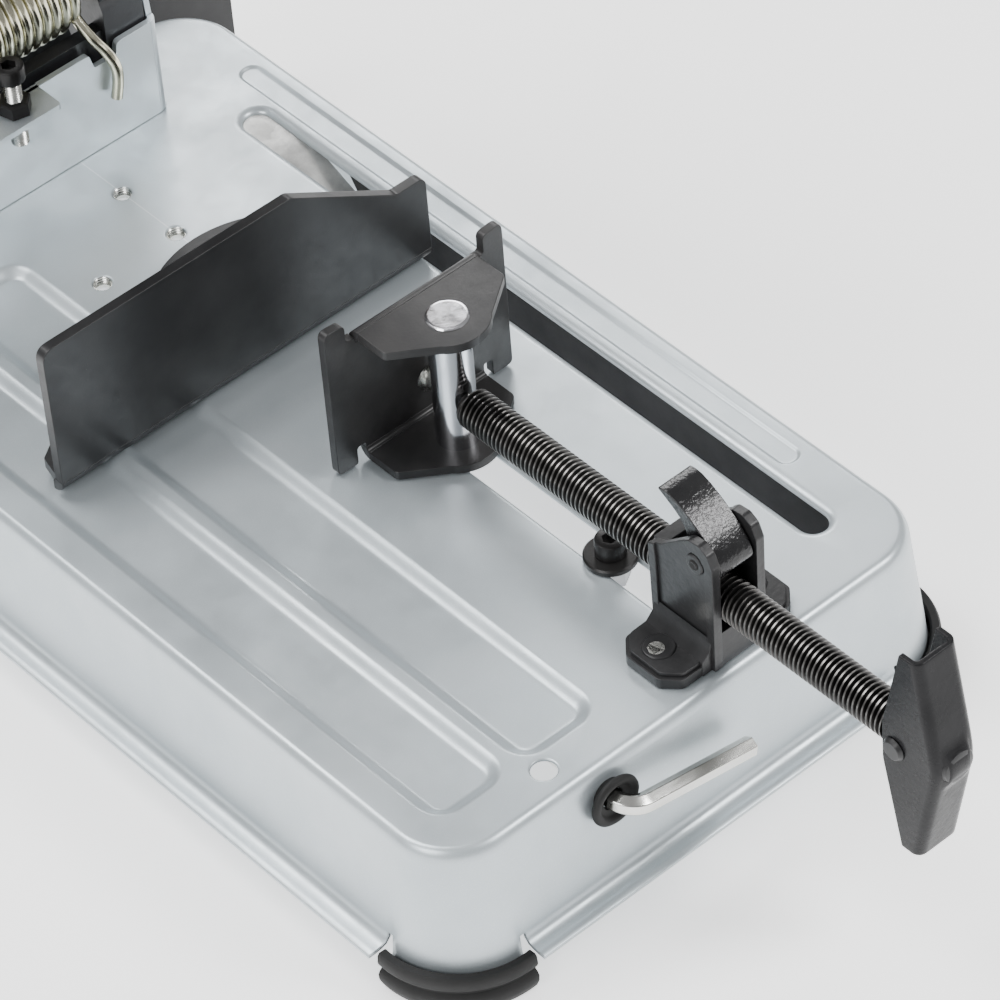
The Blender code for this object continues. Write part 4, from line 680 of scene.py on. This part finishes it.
def make_jaw():
    low, high = local("vise_jaw")
    face, back = high.y, high.y - 0.0043
    x0, x1 = low.x, high.x
    ear0, ear1 = VISE_X - 0.0324, VISE_X + 0.0324
    base, ear_top = low.z, low.z + 0.0714
    horn = high.z
    notch = 0.0045
    lowest, highest = ear_top - 0.0043, base + 0.0043
    outer = 0.0062
    plate = [(x0, base), (ear0 - notch, base), (ear0 - notch, base + 0.009), (ear0, base + 0.009),
             (ear0, base + outer), (ear1, base + outer), (ear1, base + 0.009), (ear1 + notch, base + 0.009),
             (ear1 + notch, base), (x1, base), (x1, horn), (ear1 + notch, horn - 0.001),
             (ear1 + notch, ear_top - 0.0034), (ear1, ear_top - 0.0034), (ear1, ear_top - outer),
             (ear0, ear_top - outer), (ear0, ear_top - 0.0034), (ear0 - notch, ear_top - 0.0034),
             (ear0 - notch, horn - 0.001), (x0, horn)]
    radii = [0.003, 0.0015, 0.0018, 0.001, 0, 0, 0.001, 0.0018, 0.0015, 0.003,
             0.0035, 0.003, 0.002, 0.001, 0, 0, 0.001, 0.002, 0.003, 0.0035]
    nose = arc((VISE_X, PIN_Y), 0.0182, 220, 320, 14)
    fold = face - outer
    ear = [(ear1, fold), (ear0, fold), (ear0, PIN_Y + 0.0015)] + nose + [(ear1, PIN_Y + 0.0015)]
    ear_radii = [0, 0, 0.003] + [0] * len(nose) + [0.003]
    ear = rounded(ear, ear_radii)
    bm = bmesh.new()
    prism(bm, rounded(plate, radii), back, face, "Y")
    prism(bm, ear, base, highest, "Z")
    prism(bm, ear, lowest, ear_top, "Z")
    bend(bm, (fold, ear_top - outer), outer, outer - 0.0043, 90, 0, ear0, ear1, "X")
    bend(bm, (fold, base + outer), outer, outer - 0.0043, 0, -90, ear0, ear1, "X")
    piece("jaw_folded", bm, JAW_BLACK, "vise_jaw", ("vise_jaw",), smooth=38, bevel=0.0007,
          segments=3)


def make_fence():
    low, high = local("fence")
    x0, x1 = low.x, high.x
    face = low.y
    sheet = 0.005
    outer = 0.0068
    bottom = low.z
    wall = [(x0, bottom + outer), (x1, bottom + outer), (x1, TOP + 0.047), (0.0787, TOP + 0.047),
            (0.0243, TOP + 0.080), (x0, TOP + 0.080)]
    reach = face + 0.025
    spread = math.degrees(math.asin((reach - FENCE_PIVOT[1]) / 0.054))
    ring = arc(FENCE_PIVOT, 0.054, spread, 180 - spread, 40)
    foot = [(x0 + 0.002, face + outer), (x1, face + outer), (x1, reach)] + ring + [(x0 + 0.014, reach),
                                                                                   (x0 + 0.005, reach - 0.006)]
    bm = bmesh.new()
    prism(bm, rounded(wall, [0, 0, 0.005, 0.004, 0.006, 0.006], 8), face, face + sheet, "Y")
    prism(bm, foot, bottom, bottom + 0.0055, "Z")
    bend(bm, (face + outer, bottom + outer), outer, outer - sheet, 180, 270, x0, x1, "X")
    piece("fence_folded", bm, BLACK, "fence", ("fence",), smooth=38, bevel=0.0009, segments=3)


def make_handle():
    """Folded channel with its web to the front, wide in the middle and narrow at both ends."""
    half_z = (HANDLE_HIGH.z - HANDLE_LOW.z) / 2
    half_x = (HANDLE_HIGH.x - HANDLE_LOW.x) / 2
    front, rear = HANDLE_LOW.y, HANDLE_HIGH.y
    web_end, rear_end = front + 0.010, rear - 0.0097
    sheet, radius = 0.0025, 0.0042
    bm = bmesh.new()
    rings = []
    steps = 48
    for i in range(steps + 1):
        z = -half_z + 2 * half_z * i / steps
        share = abs(z) / half_z
        soft = (math.sqrt(share * share + 0.01) - 0.1) / (math.sqrt(1.01) - 0.1)
        web = front + (web_end - front) * soft
        shoulder = max(0.0, (abs(z) - 0.010) / (half_z - 0.010))
        back = rear + (rear_end - rear) * shoulder
        swell = 0.0026 * math.exp(-(z / 0.0085) ** 4)
        outer = ([(-half_x, back)]
                 + [(x - half_x + radius, y + web + radius) for x, y in arc((0, 0), radius, 180, 270, 6)]
                 + [(x + half_x - radius, y + web + radius) for x, y in arc((0, 0), radius, 270, 360, 6)]
                 + [(half_x, back)])
        inner_r = radius - sheet
        inner = ([(half_x - sheet, back)]
                 + [(x + half_x - radius, y + web + radius) for x, y in arc((0, 0), inner_r, 360, 270, 6)]
                 + [(x - half_x + radius, y + web + radius) for x, y in arc((0, 0), inner_r, 270, 180, 6)]
                 + [(-half_x + sheet, back)])
        middle = []
        for k in range(1, 12):
            x = -half_x + radius + (2 * half_x - 2 * radius) * k / 12
            middle.append((x, web - swell * math.exp(-(x / 0.0085) ** 4)))
        outer = outer[:8] + middle + outer[8:]
        rings.append([bm.verts.new((VISE_X + x, y, SCREW_Z + z)) for x, y in outer + inner])
    join_rings(bm, rings)
    bm.faces.new(rings[0])
    bm.faces.new(rings[-1])
    piece("handle_folded", bm, GLOSS_BLACK, "spindle", ("spindle_handle",), smooth=50,
          bevel=0.0006, segments=2)


def make_nut_bracket():
    """Cast fork: two cheeks with raised rims, a rear wall, a bolted pad and bosses round its holes."""
    x = VISE_X
    floor = TOP + 0.0003
    pad = [(x - 0.0100, -0.1965), (x - 0.0290, -0.1973), (x - 0.0358, -0.205), (x - 0.0358, -0.2235),
           (x - 0.0290, -0.2308), (x + 0.0290, -0.2308), (x + 0.0358, -0.2235), (x + 0.0358, -0.205),
           (x + 0.0290, -0.1973), (x + 0.0100, -0.1965)]
    upper = [(x + (px - x) * 0.955, -0.2137 + (py + 0.2137) * 0.93) for px, py in pad]
    side = [(-0.1972, floor), (-0.1965, TOP + 0.0472), (-0.2030, TOP + 0.0500), (-0.2205, TOP + 0.0655),
            (-0.2265, TOP + 0.0662), (-0.2312, TOP + 0.0635), (-0.2338, TOP + 0.0575), (-0.2330, floor)]
    radii = [0, 0.002, 0.004, 0.004, 0.003, 0.003, 0.004, 0]
    cheek = rounded(side, radii)
    bm = bmesh.new()
    prism(bm, rounded(pad, 0.004), floor, TOP + 0.0055, "Z")
    prism(bm, rounded(upper, 0.004), TOP + 0.0040, TOP + 0.0076, "Z")
    for sign in (-1, 1):
        prism(bm, cheek, x + sign * 0.0096, x + sign * 0.0128, "X")
        rim = [(-0.1972, floor), (-0.1965, TOP + 0.0472), (-0.2000, TOP + 0.0487), (-0.2007, TOP + 0.040),
               (-0.2012, floor)]
        prism(bm, rim, x + sign * 0.0120, x + sign * 0.0140, "X")
        front = [(-0.2330, floor), (-0.2338, TOP + 0.0575), (-0.2312, TOP + 0.0635), (-0.2265, TOP + 0.0662),
                 (-0.2205, TOP + 0.0655), (-0.2170, TOP + 0.0625), (-0.2210, TOP + 0.0600), (-0.2262, TOP + 0.0600),
                 (-0.2292, TOP + 0.0560), (-0.2290, floor)]
        prism(bm, rounded(front, [0, 0.003, 0.003, 0.003, 0.003, 0.001, 0.003, 0.003, 0.003, 0]),
              x + sign * 0.0120, x + sign * 0.0140, "X")
        toe = [(x + sign * 0.0135, floor), (x + sign * 0.0135, TOP + 0.0170), (x + sign * 0.0150, TOP + 0.0115),
               (x + sign * 0.0190, TOP + 0.0074), (x + sign * 0.0190, floor)]
        prism(bm, toe, -0.2312, -0.1982, "Y")
        lathe(bm, (x + sign * 0.0118, -0.2235, TOP + 0.054), (sign, 0, 0),
              ((0, 0.0050), (0.0020, 0.0047), (0.0024, 0.0042)), 32)
        lathe(bm, (x + sign * 0.0247, NUT_BOLT_Y, TOP + 0.0070), (0, 0, 1),
              ((0, 0.0072), (0.0008, 0.0070), (0.0012, 0.0065)), 36)
    rear = [(-0.1966, floor), (-0.1960, TOP + 0.0478), (-0.2024, TOP + 0.0478), (-0.2024, floor)]
    prism(bm, rear, x - 0.0100, x + 0.0100, "X")
    lower = [(-0.2020, floor), (-0.2020, TOP + 0.0175), (-0.2315, TOP + 0.0175), (-0.2325, floor)]
    prism(bm, lower, x - 0.0100, x + 0.0100, "X")
    piece("nut_bracket_casting", bm, CAST, "base", ("nut_bracket",), smooth=38, bevel=0.0009,
          segments=3)
    pin = bmesh.new()
    for sign in (-1, 1):
        lathe(pin, (x + sign * 0.0120, -0.2235, TOP + 0.054), (sign, 0, 0),
              ((0, 0.0025), (0.0024, 0.0025), (0.0028, 0.0019), (0.0023, 0.0008)), 24)
    piece("lever_pin_ends", pin, OXIDE_DULL, "base")


NUT_BOLT_Y = (local("nut_bracket_bolt_left")[0].y + local("nut_bracket_bolt_left")[1].y) / 2
# y, z from the lever's pin, round the side of the lever
LEVER_SIDE = ((0.0252, 0.0207), (0.0205, 0.0217), (0.0155, 0.0204), (0.0095, 0.0174), (0.0030, 0.0130),
              (-0.0030, 0.0080), (-0.0078, 0.0022), (-0.0095, -0.0025), (-0.0080, -0.0058), (-0.0040, -0.0068),
              (0.0030, -0.0045), (0.0150, -0.0045), (0.0135, 0.0000), (0.0100, 0.0040), (0.0098, 0.0075),
              (0.0125, 0.0122), (0.0185, 0.0168))


def make_lever():
    points = list(LEVER_SIDE)
    closed = points[-2:] + points + points[:2]
    curve = [(p.x, p.y) for p in smooth_path([(y, z, 0) for y, z in closed], 4)]
    curve = curve[8:-8]
    side = [(-0.2235 + y, TOP + 0.054 + z) for y, z in curve]
    bm = bmesh.new()
    prism(bm, side[:-1], VISE_X - 0.0087, VISE_X + 0.0087, "X")
    piece("lever_cast", bm, HAMMERED, "release_lever", ("release_lever",), smooth=40,
          bevel=0.0011, segments=3)


# (height, corner radius) steps of an M8 hexagon head with its turned chamfer
HEX_HEAD = ((0, 0.0071), (0.0003, 0.0075), (0.0046, 0.0075), (0.0055, 0.0066))


def make_rear_bracket():
    low, high = local("rear_bracket")
    x0, x1 = low.x, high.x
    sheet, radius = 0.003, 0.0045
    front = 0.185
    wall_top = TOP + 0.0513
    floor = TOP + 0.0003
    wall = [(x0 + radius, floor), (x1 - radius, floor), (x1 - radius, wall_top), (0.0555, wall_top),
            (0.0545, wall_top - 0.0065), (0.0425, wall_top - 0.0065), (0.0405, wall_top + 0.0016),
            (0.0130, wall_top + 0.0016), (0.0130, TOP + 0.0525), (x0 + radius, TOP + 0.0525)]
    hinge = (0.216, TOP + 0.078)
    side = ([(front + radius, floor), (0.232, floor), (0.243, TOP + 0.012), (0.243, hinge[1])]
            + arc(hinge, 0.024, 20, 160, 24) + [(front + radius, wall_top - 0.001)])
    bm = bmesh.new()
    prism(bm, rounded(wall, [0, 0, 0, 0.003, 0.002, 0.002, 0.002, 0.001, 0, 0]), front, front + sheet, "Y")
    bend(bm, (x1 - radius, front + radius), radius, radius - sheet, 270, 360, floor, wall_top, "Z")
    bend(bm, (x0 + radius, front + radius), radius, radius - sheet, 180, 270, floor, TOP + 0.0525, "Z")
    prism(bm, side, x1 - sheet, x1, "X")
    prism(bm, [(x0 + 0.001, front + 0.001), (x1 - 0.001, front + 0.001), (x1 - 0.001, 0.231), (x0 + 0.001, 0.231)],
          floor, floor + sheet, "Z")
    tab = rounded([(x0, 0.1695), (0.013, 0.1695), (0.013, front + 0.002), (x0, front + 0.002)], [0, 0.002, 0, 0])
    prism(bm, tab, TOP + 0.0495, TOP + 0.0525, "Z")
    piece("rear_bracket_folded", bm, SILVER, "base", ("rear_bracket",), smooth=38,
          bevel=0.0005, segments=2)
    knob_low, knob_high = local("transport_lock_pin")
    lock = ((knob_low.y + knob_high.y) / 2, (knob_low.z + knob_high.z) / 2)
    slit = 0.00001
    drilled = (side[:3] + [(0.243, lock[1] - slit)] + arc(lock, 0.0043, 359.87, 0.13, 24)
               + [(0.243, lock[1] + slit)] + side[3:])
    bars("rear_bracket_left_ear", ((drilled, x0, x0 + sheet, "X"),), SILVER, "base",
         bevel=0.0, smooth=38)
    bm = bmesh.new()
    for x in (-0.030, 0.063):
        for y in (0.200, 0.222):
            lathe(bm, (x, y, floor + sheet), (0, 0, 1), HEX_HEAD, flats=6)
            lathe(bm, (x, y, TOP - 0.008), (0, 0, 1), ((0, 0.0036), (0.0006, 0.0040), (0.012, 0.0040)), 20)
    piece("rear_bracket_bolts", bm, ZINC, "base", smooth=30)


def make_slot_shade():
    """Black strip that hangs from the slot's right edge and round its front end, and a black plate beside it: painted
    shade that darkens the inside of the disc slot.
    """
    x, width, (y0, _) = DISC_SLOT
    r = width / 2
    outer = arc((x, y0 + r), r + 0.0014, 230, 360, 20) + [(x + r + 0.0014, 0.060)]
    inner = [(x + r + 0.0002, 0.060)] + arc((x, y0 + r), r + 0.0002, 360, 230, 20)
    bars("slot_shade_liner", ((outer + inner, TOP - 0.024, TOP - 0.0021, "Z"),), SHADE_BLACK, "base",
         bevel=0.0, smooth=30)
    # The black plate under the slot's rear part is painted shade as well.
    side = [(0.128, TOP - 0.0022), (0.060, TOP - 0.0022), (0.060, TOP - 0.030), (0.088, TOP - 0.030),
            (0.102, TOP - 0.0085)]
    bars("slot_shade_plate", ((side, x + r + 0.0040, x + r + 0.0055, "X"),), BLACK, "base",
         bevel=0.0003)


# ---------------------------------------------------------------- hinge spring
SPRING_RADIUS = 0.0234
SPRING_WIRE = 0.0026
SPRING_X = (-0.014, 0.0425)
SPRING_TURNS = 11


def make_spring():
    centre = LAY.inverted() @ HINGE
    coil = []
    steps = 36 * SPRING_TURNS
    for i in range(steps + 1):
        a = math.radians(205) + math.tau * i / 36
        x = SPRING_X[0] + (SPRING_X[1] - SPRING_X[0]) * i / steps
        coil.append(Vector((x, centre.y + SPRING_RADIUS * math.cos(a), centre.z + SPRING_RADIUS * math.sin(a))))
    leg = smooth_path([coil[-1], (0.0437, 0.1905, TOP + 0.0625), (0.0457, 0.1870, TOP + 0.0570),
                       (0.0485, 0.1848, TOP + 0.0515), (0.0505, 0.1820, TOP + 0.0455),
                       (0.0510, 0.1807, TOP + 0.0400), (0.0503, 0.1804, TOP + 0.0340),
                       (0.0487, 0.1804, TOP + 0.0272)], 6)
    bm = bmesh.new()
    tube(bm, coil + leg[1:], SPRING_WIRE, 14)
    piece("torsion_spring", bm, YELLOW, "base", ("return_spring",), smooth=50)


# ---------------------------------------------------------------- bolts and screws
def hex_bolt(name, node, base, look, body, washer_face=0.0):
    """Hex bolt head with its turned chamfer, and the threaded end below."""
    x, y, z = base
    bm = bmesh.new()
    lathe(bm, (x, y, z), (0, 0, 1), HEX_HEAD, flats=6)
    lathe(bm, (x, y, z - 0.020), (0, 0, 1), ((0, 0.0034), (0.0008, 0.0040), (0.0202, 0.0040)), 24)
    piece(name, bm, look, body, (node,), smooth=30)


def socket_screw(bm, base, height, radius, hexagon, depth):
    """Cylinder head with a rounded rim and a hexagon socket."""
    x, y, z = base
    outer = [(radius - 0.0003, 0), (radius, 0.0003), (radius, height - 0.0008), (radius - 0.0003, height - 0.0002),
             (radius - 0.0009, height)]
    rings = []
    for r, dz in outer:
        rings.append([bm.verts.new((x + r * math.cos(math.tau * i / 48), y + r * math.sin(math.tau * i / 48), z + dz))
                      for i in range(48)])
    for drop in (0.0, depth):
        ring = []
        for i in range(48):
            a = math.tau * i / 48
            r = hexagon / 2 / math.cos((a % (math.tau / 6)) - math.tau / 12)
            ring.append(bm.verts.new((x + r * math.cos(a), y + r * math.sin(a), z + height - drop)))
        rings.append(ring)
    join_rings(bm, rings)
    bm.faces.new(rings[0])
    bm.faces.new(rings[-1])


def make_fasteners():
    for kind in ("pivot", "lock"):
        low, high = local(f"fence_{kind}_bolt")
        x, y = (low.x + high.x) / 2, (low.y + high.y) / 2
        hex_bolt(f"fence_{kind}_hex_bolt", f"fence_{kind}_bolt", (x, y, high.z - 0.0055), ZINC, "base")
        low, high = local(f"fence_{kind}_washer")
        bm = bmesh.new()
        lathe(bm, (x, y, low.z), (0, 0, 1), ((0, 0.0083), (0.0003, 0.0085), (high.z - low.z - 0.0003, 0.0085),
                                             (high.z - low.z, 0.0082)), 40)
        piece(f"fence_{kind}_disc_washer", bm, ZINC, "base", (f"fence_{kind}_washer",))
    for side in ("left", "right"):
        low, high = local(f"nut_bracket_bolt_{side}")
        x, y = (low.x + high.x) / 2, (low.y + high.y) / 2
        bm = bmesh.new()
        lathe(bm, (x, y, low.z), (0, 0, 1), ((0, 0.0068), (0.0006, 0.0075), (0.0070, 0.0075), (0.0075, 0.0072)),
              flats=6)
        lathe(bm, (x, y, low.z + 0.006), (0, 0, 1), ((0, 0.0040), (high.z - low.z - 0.0066, 0.0040),
                                                     (high.z - low.z - 0.0060, 0.0035)), 32)
        piece(f"nut_bracket_screw_{side}", bm, ZINC, "base", (f"nut_bracket_bolt_{side}",))
    low, high = local("stop_screw")
    x, y = (low.x + high.x) / 2, (low.y + high.y) / 2
    bm = bmesh.new()
    socket_screw(bm, (x, y, TOP + 0.0034), 0.0081, 0.0065, 0.006, 0.0036)
    lathe(bm, (x, y, low.z), (0, 0, 1), ((0, 0.0033), (0.0008, 0.0040), (TOP + 0.0036 - low.z, 0.0040)), 24)
    piece("stop_socket_screw", bm, OXIDE_DULL, "base", ("stop_screw",))
    low, high = local("stop_screw_washer")
    bm = bmesh.new()
    lathe(bm, (x, y, low.z), (0, 0, 1), ((0, 0.0112), (0.0004, 0.0115), (0.0022, 0.0115), (0.0029, 0.0108)), 48)
    piece("stop_washer", bm, OXIDE_DULL, "base", ("stop_screw_washer",))
    low, high = local("depth_stop_bolt")
    x, y = (low.x + high.x) / 2, (low.y + high.y) / 2
    bm = bmesh.new()
    socket_screw(bm, (x, y, high.z - 0.0075), 0.0075, 0.0065, 0.006, 0.0035)
    piece("depth_stop_head", bm, OXIDE_DULL, "depth_stop", ("depth_stop_bolt",), smooth=30)
    bm = bmesh.new()
    turns = int((high.z - 0.0075 - low.z) / 0.00125)
    profile = [(0, 0.0031)]
    for i in range(turns):
        profile += [(0.0004 + 0.00125 * i, 0.0034), (0.0010 + 0.00125 * i, 0.0040)]
    profile.append((high.z - 0.0073 - low.z, 0.0040))
    lathe(bm, (x, y, low.z), (0, 0, 1), profile, 24)
    piece("depth_stop_thread", bm, ZINC, "depth_stop", smooth=30)
    low, high = local("depth_stop_nut")
    bm = bmesh.new()
    lathe(bm, (x, y, low.z), (0, 0, 1), ((0, 0.0068), (0.0006, 0.0075), (0.0064, 0.0075), (0.0071, 0.0067)), flats=6)
    piece("depth_stop_lock_nut", bm, OXIDE_DULL, "base", ("depth_stop_nut",), smooth=30)


# ---------------------------------------------------------------- the rest of the machine
REFINED = (
    (SHEET, 0.0004, "spark_chute"),
    (BLACK, 0.0005, "handle_rivet spark_deflector"),
    (STEEL, 0.0004, "half_nut lever_pin spring_guide_tube stop_screw_nut arbor_shaft arbor_bearing inner_flange"
                    " outer_flange motor_stator"),
    (STEEL, 0.0002, "drive_gear motor_pinion"),
    (ZINC, 0.0006, "hinge_shaft hinge_shaft_nut transport_lock_pin arbor_bolt"),
    (HEAD_PAINT, 0.0016, "arm_casting"),
    (HEAD_PAINT, 0.0008, "gear_cover"),
    (BLACK, 0.0007, "upper_guard"),
    (GREY, 0.0004, "lower_guard cooling_fan brush_carrier lock_off_button"),
    (PLASTIC, 0.0012, "motor_housing motor_end_cap carry_handle trigger"),
    (PLASTIC, 0.0030, "handle_shell_left handle_shell_right"),
    (RUBBER, 0.0008, "cable_gland"),
    (COPPER, 0.0006, "motor_armature"),
    (ABRASIVE, 0.0003, "cutting_disc"),
)


def make_refined():
    for look, bevel, names in REFINED:
        for node in names.split():
            refine(node, look, bevel, 3)


# ---------------------------------------------------------------- motor details, drawn in the row frame
def make_motor_details():
    """Ribs round the motor, air slots in its end cap as dark bars standing just proud of the cap (painted shade in
    place of openings) and the three screws that hold the cap.
    """
    low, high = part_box("motor_housing")
    cap_low, cap_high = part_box("motor_end_cap")
    middle = Vector((0, (low.y + high.y) / 2, (low.z + high.z) / 2))
    radius = (high.z - low.z) / 2

    def bar(bm, turn, x_range, inner, outer, half):
        out = Vector((0, math.cos(turn), math.sin(turn)))
        side = Vector((0, -math.sin(turn), math.cos(turn)))
        rings = [[bm.verts.new(middle + Vector((x, 0, 0)) + out * r + side * s)
                  for r, s in ((inner, -half), (outer, -half), (outer, half), (inner, half))] for x in x_range]
        join_rings(bm, rings)
        bm.faces.new(rings[0])
        bm.faces.new(rings[1])

    ribs = bmesh.new()
    for i in range(32):
        bar(ribs, math.tau * i / 32, (low.x + 0.006, high.x - 0.034), radius - 0.001, radius + 0.0011, 0.0012)
    piece("motor_ribs", ribs, PLASTIC, "head", place=Matrix.Identity(4), smooth=30)
    # The air slots are dark bars, not openings: painted shade on the end cap.
    slot_shade_bars = bmesh.new()
    for i in range(24):
        bar(slot_shade_bars, math.tau * i / 24, (cap_low.x + 0.009, cap_high.x - 0.006), radius - 0.004,
            radius + 0.0002, 0.0017)
    for i in range(16):
        bar(slot_shade_bars, math.tau * i / 16, (cap_low.x - 0.0002, cap_low.x + 0.001), 0.014, 0.034, 0.0014)
    piece("motor_air_slot_shade", slot_shade_bars, SHADE_BLACK, "head", place=Matrix.Identity(4), smooth=30)
    screws = bmesh.new()
    for turn in (90, 210, 330):
        a = math.radians(turn)
        seat = middle + Vector((cap_low.x + 0.0002, 0.040 * math.cos(a), 0.040 * math.sin(a)))
        lathe(screws, seat, (-1, 0, 0), ((0, 0.0034), (0.0010, 0.0032), (0.0017, 0.0022)), 24)
    piece("motor_cap_screws", screws, OXIDE_DULL, "head", place=Matrix.Identity(4), smooth=30)


# ---------------------------------------------------------------- floor, light, camera
def make_stage():
    bpy.ops.mesh.primitive_plane_add(size=60, location=(0, 0, -0.0002))
    floor = bpy.context.object
    floor.name = "floor"
    made, _, shader = node_material("pale_floor", (0.93, 0.93, 0.93), 0.9, 0.0)
    shader.inputs["Emission Color"].default_value = (1, 1, 1, 1)
    shader.inputs["Emission Strength"].default_value = 1.0
    floor.data.materials.append(made)
    world = bpy.data.worlds.new("studio")
    bpy.context.scene.world = world
    world.use_nodes = True
    world.node_tree.nodes["Background"].inputs["Color"].default_value = (1, 1, 1, 1)
    world.node_tree.nodes["Background"].inputs["Strength"].default_value = 0.35
    # name, place, aim, size, watts
    lamps = (("key_left", (-2.2, -0.5, 1.7), (0, 0, 0.05), 1.3, 46),
             ("top_rear", (-0.5, 0.9, 2.2), (0, 0, 0.05), 1.2, 52),
             ("front_right", (1.4, -1.8, 2.2), (0, 0, 0.05), 0.9, 62),
             ("rear_right_rim", (1.5, 1.7, 1.5), (0, 0, 0.05), 0.9, 24))
    for name, place, aim, size, watts in lamps:
        lamp = bpy.data.lights.new(name, "AREA")
        lamp.energy = watts
        lamp.size = size
        obj = bpy.data.objects.new(name, lamp)
        obj.location = place
        obj.rotation_euler = (Vector(aim) - Vector(place)).to_track_quat("-Z", "Y").to_euler()
        bpy.context.scene.collection.objects.link(obj)


def make_camera():
    azimuth, elevation, roll = (math.radians(v) for v in (-38.283, 44.766, -4.913))
    back = Vector((math.sin(azimuth) * math.cos(elevation), -math.cos(azimuth) * math.cos(elevation),
                   math.sin(elevation)))
    right = Vector((0, 0, 1)).cross(back).normalized()
    up = back.cross(right)
    right, up = (right * math.cos(roll) + up * math.sin(roll), up * math.cos(roll) - right * math.sin(roll))
    lens = bpy.data.cameras.new("camera")
    lens.lens = 203.93
    lens.sensor_width = 36
    lens.clip_end = 100
    camera = bpy.data.objects.new("camera", lens)
    turn = Matrix((right, up, back)).transposed().to_4x4()
    camera.matrix_world = Matrix.Translation(LAY.translation + Vector((-0.9941, -1.3834, 1.7008))) @ turn
    bpy.context.scene.collection.objects.link(camera)
    bpy.context.scene.camera = camera


make_camera()
make_tray()
make_thread_inserts()
make_feet()
make_spindle()
make_pin()
make_key()
make_jaw()
make_fence()
make_handle()
make_nut_bracket()
make_lever()
make_rear_bracket()
make_slot_shade()
make_spring()
make_fasteners()
make_refined()
make_motor_details()
make_stage()
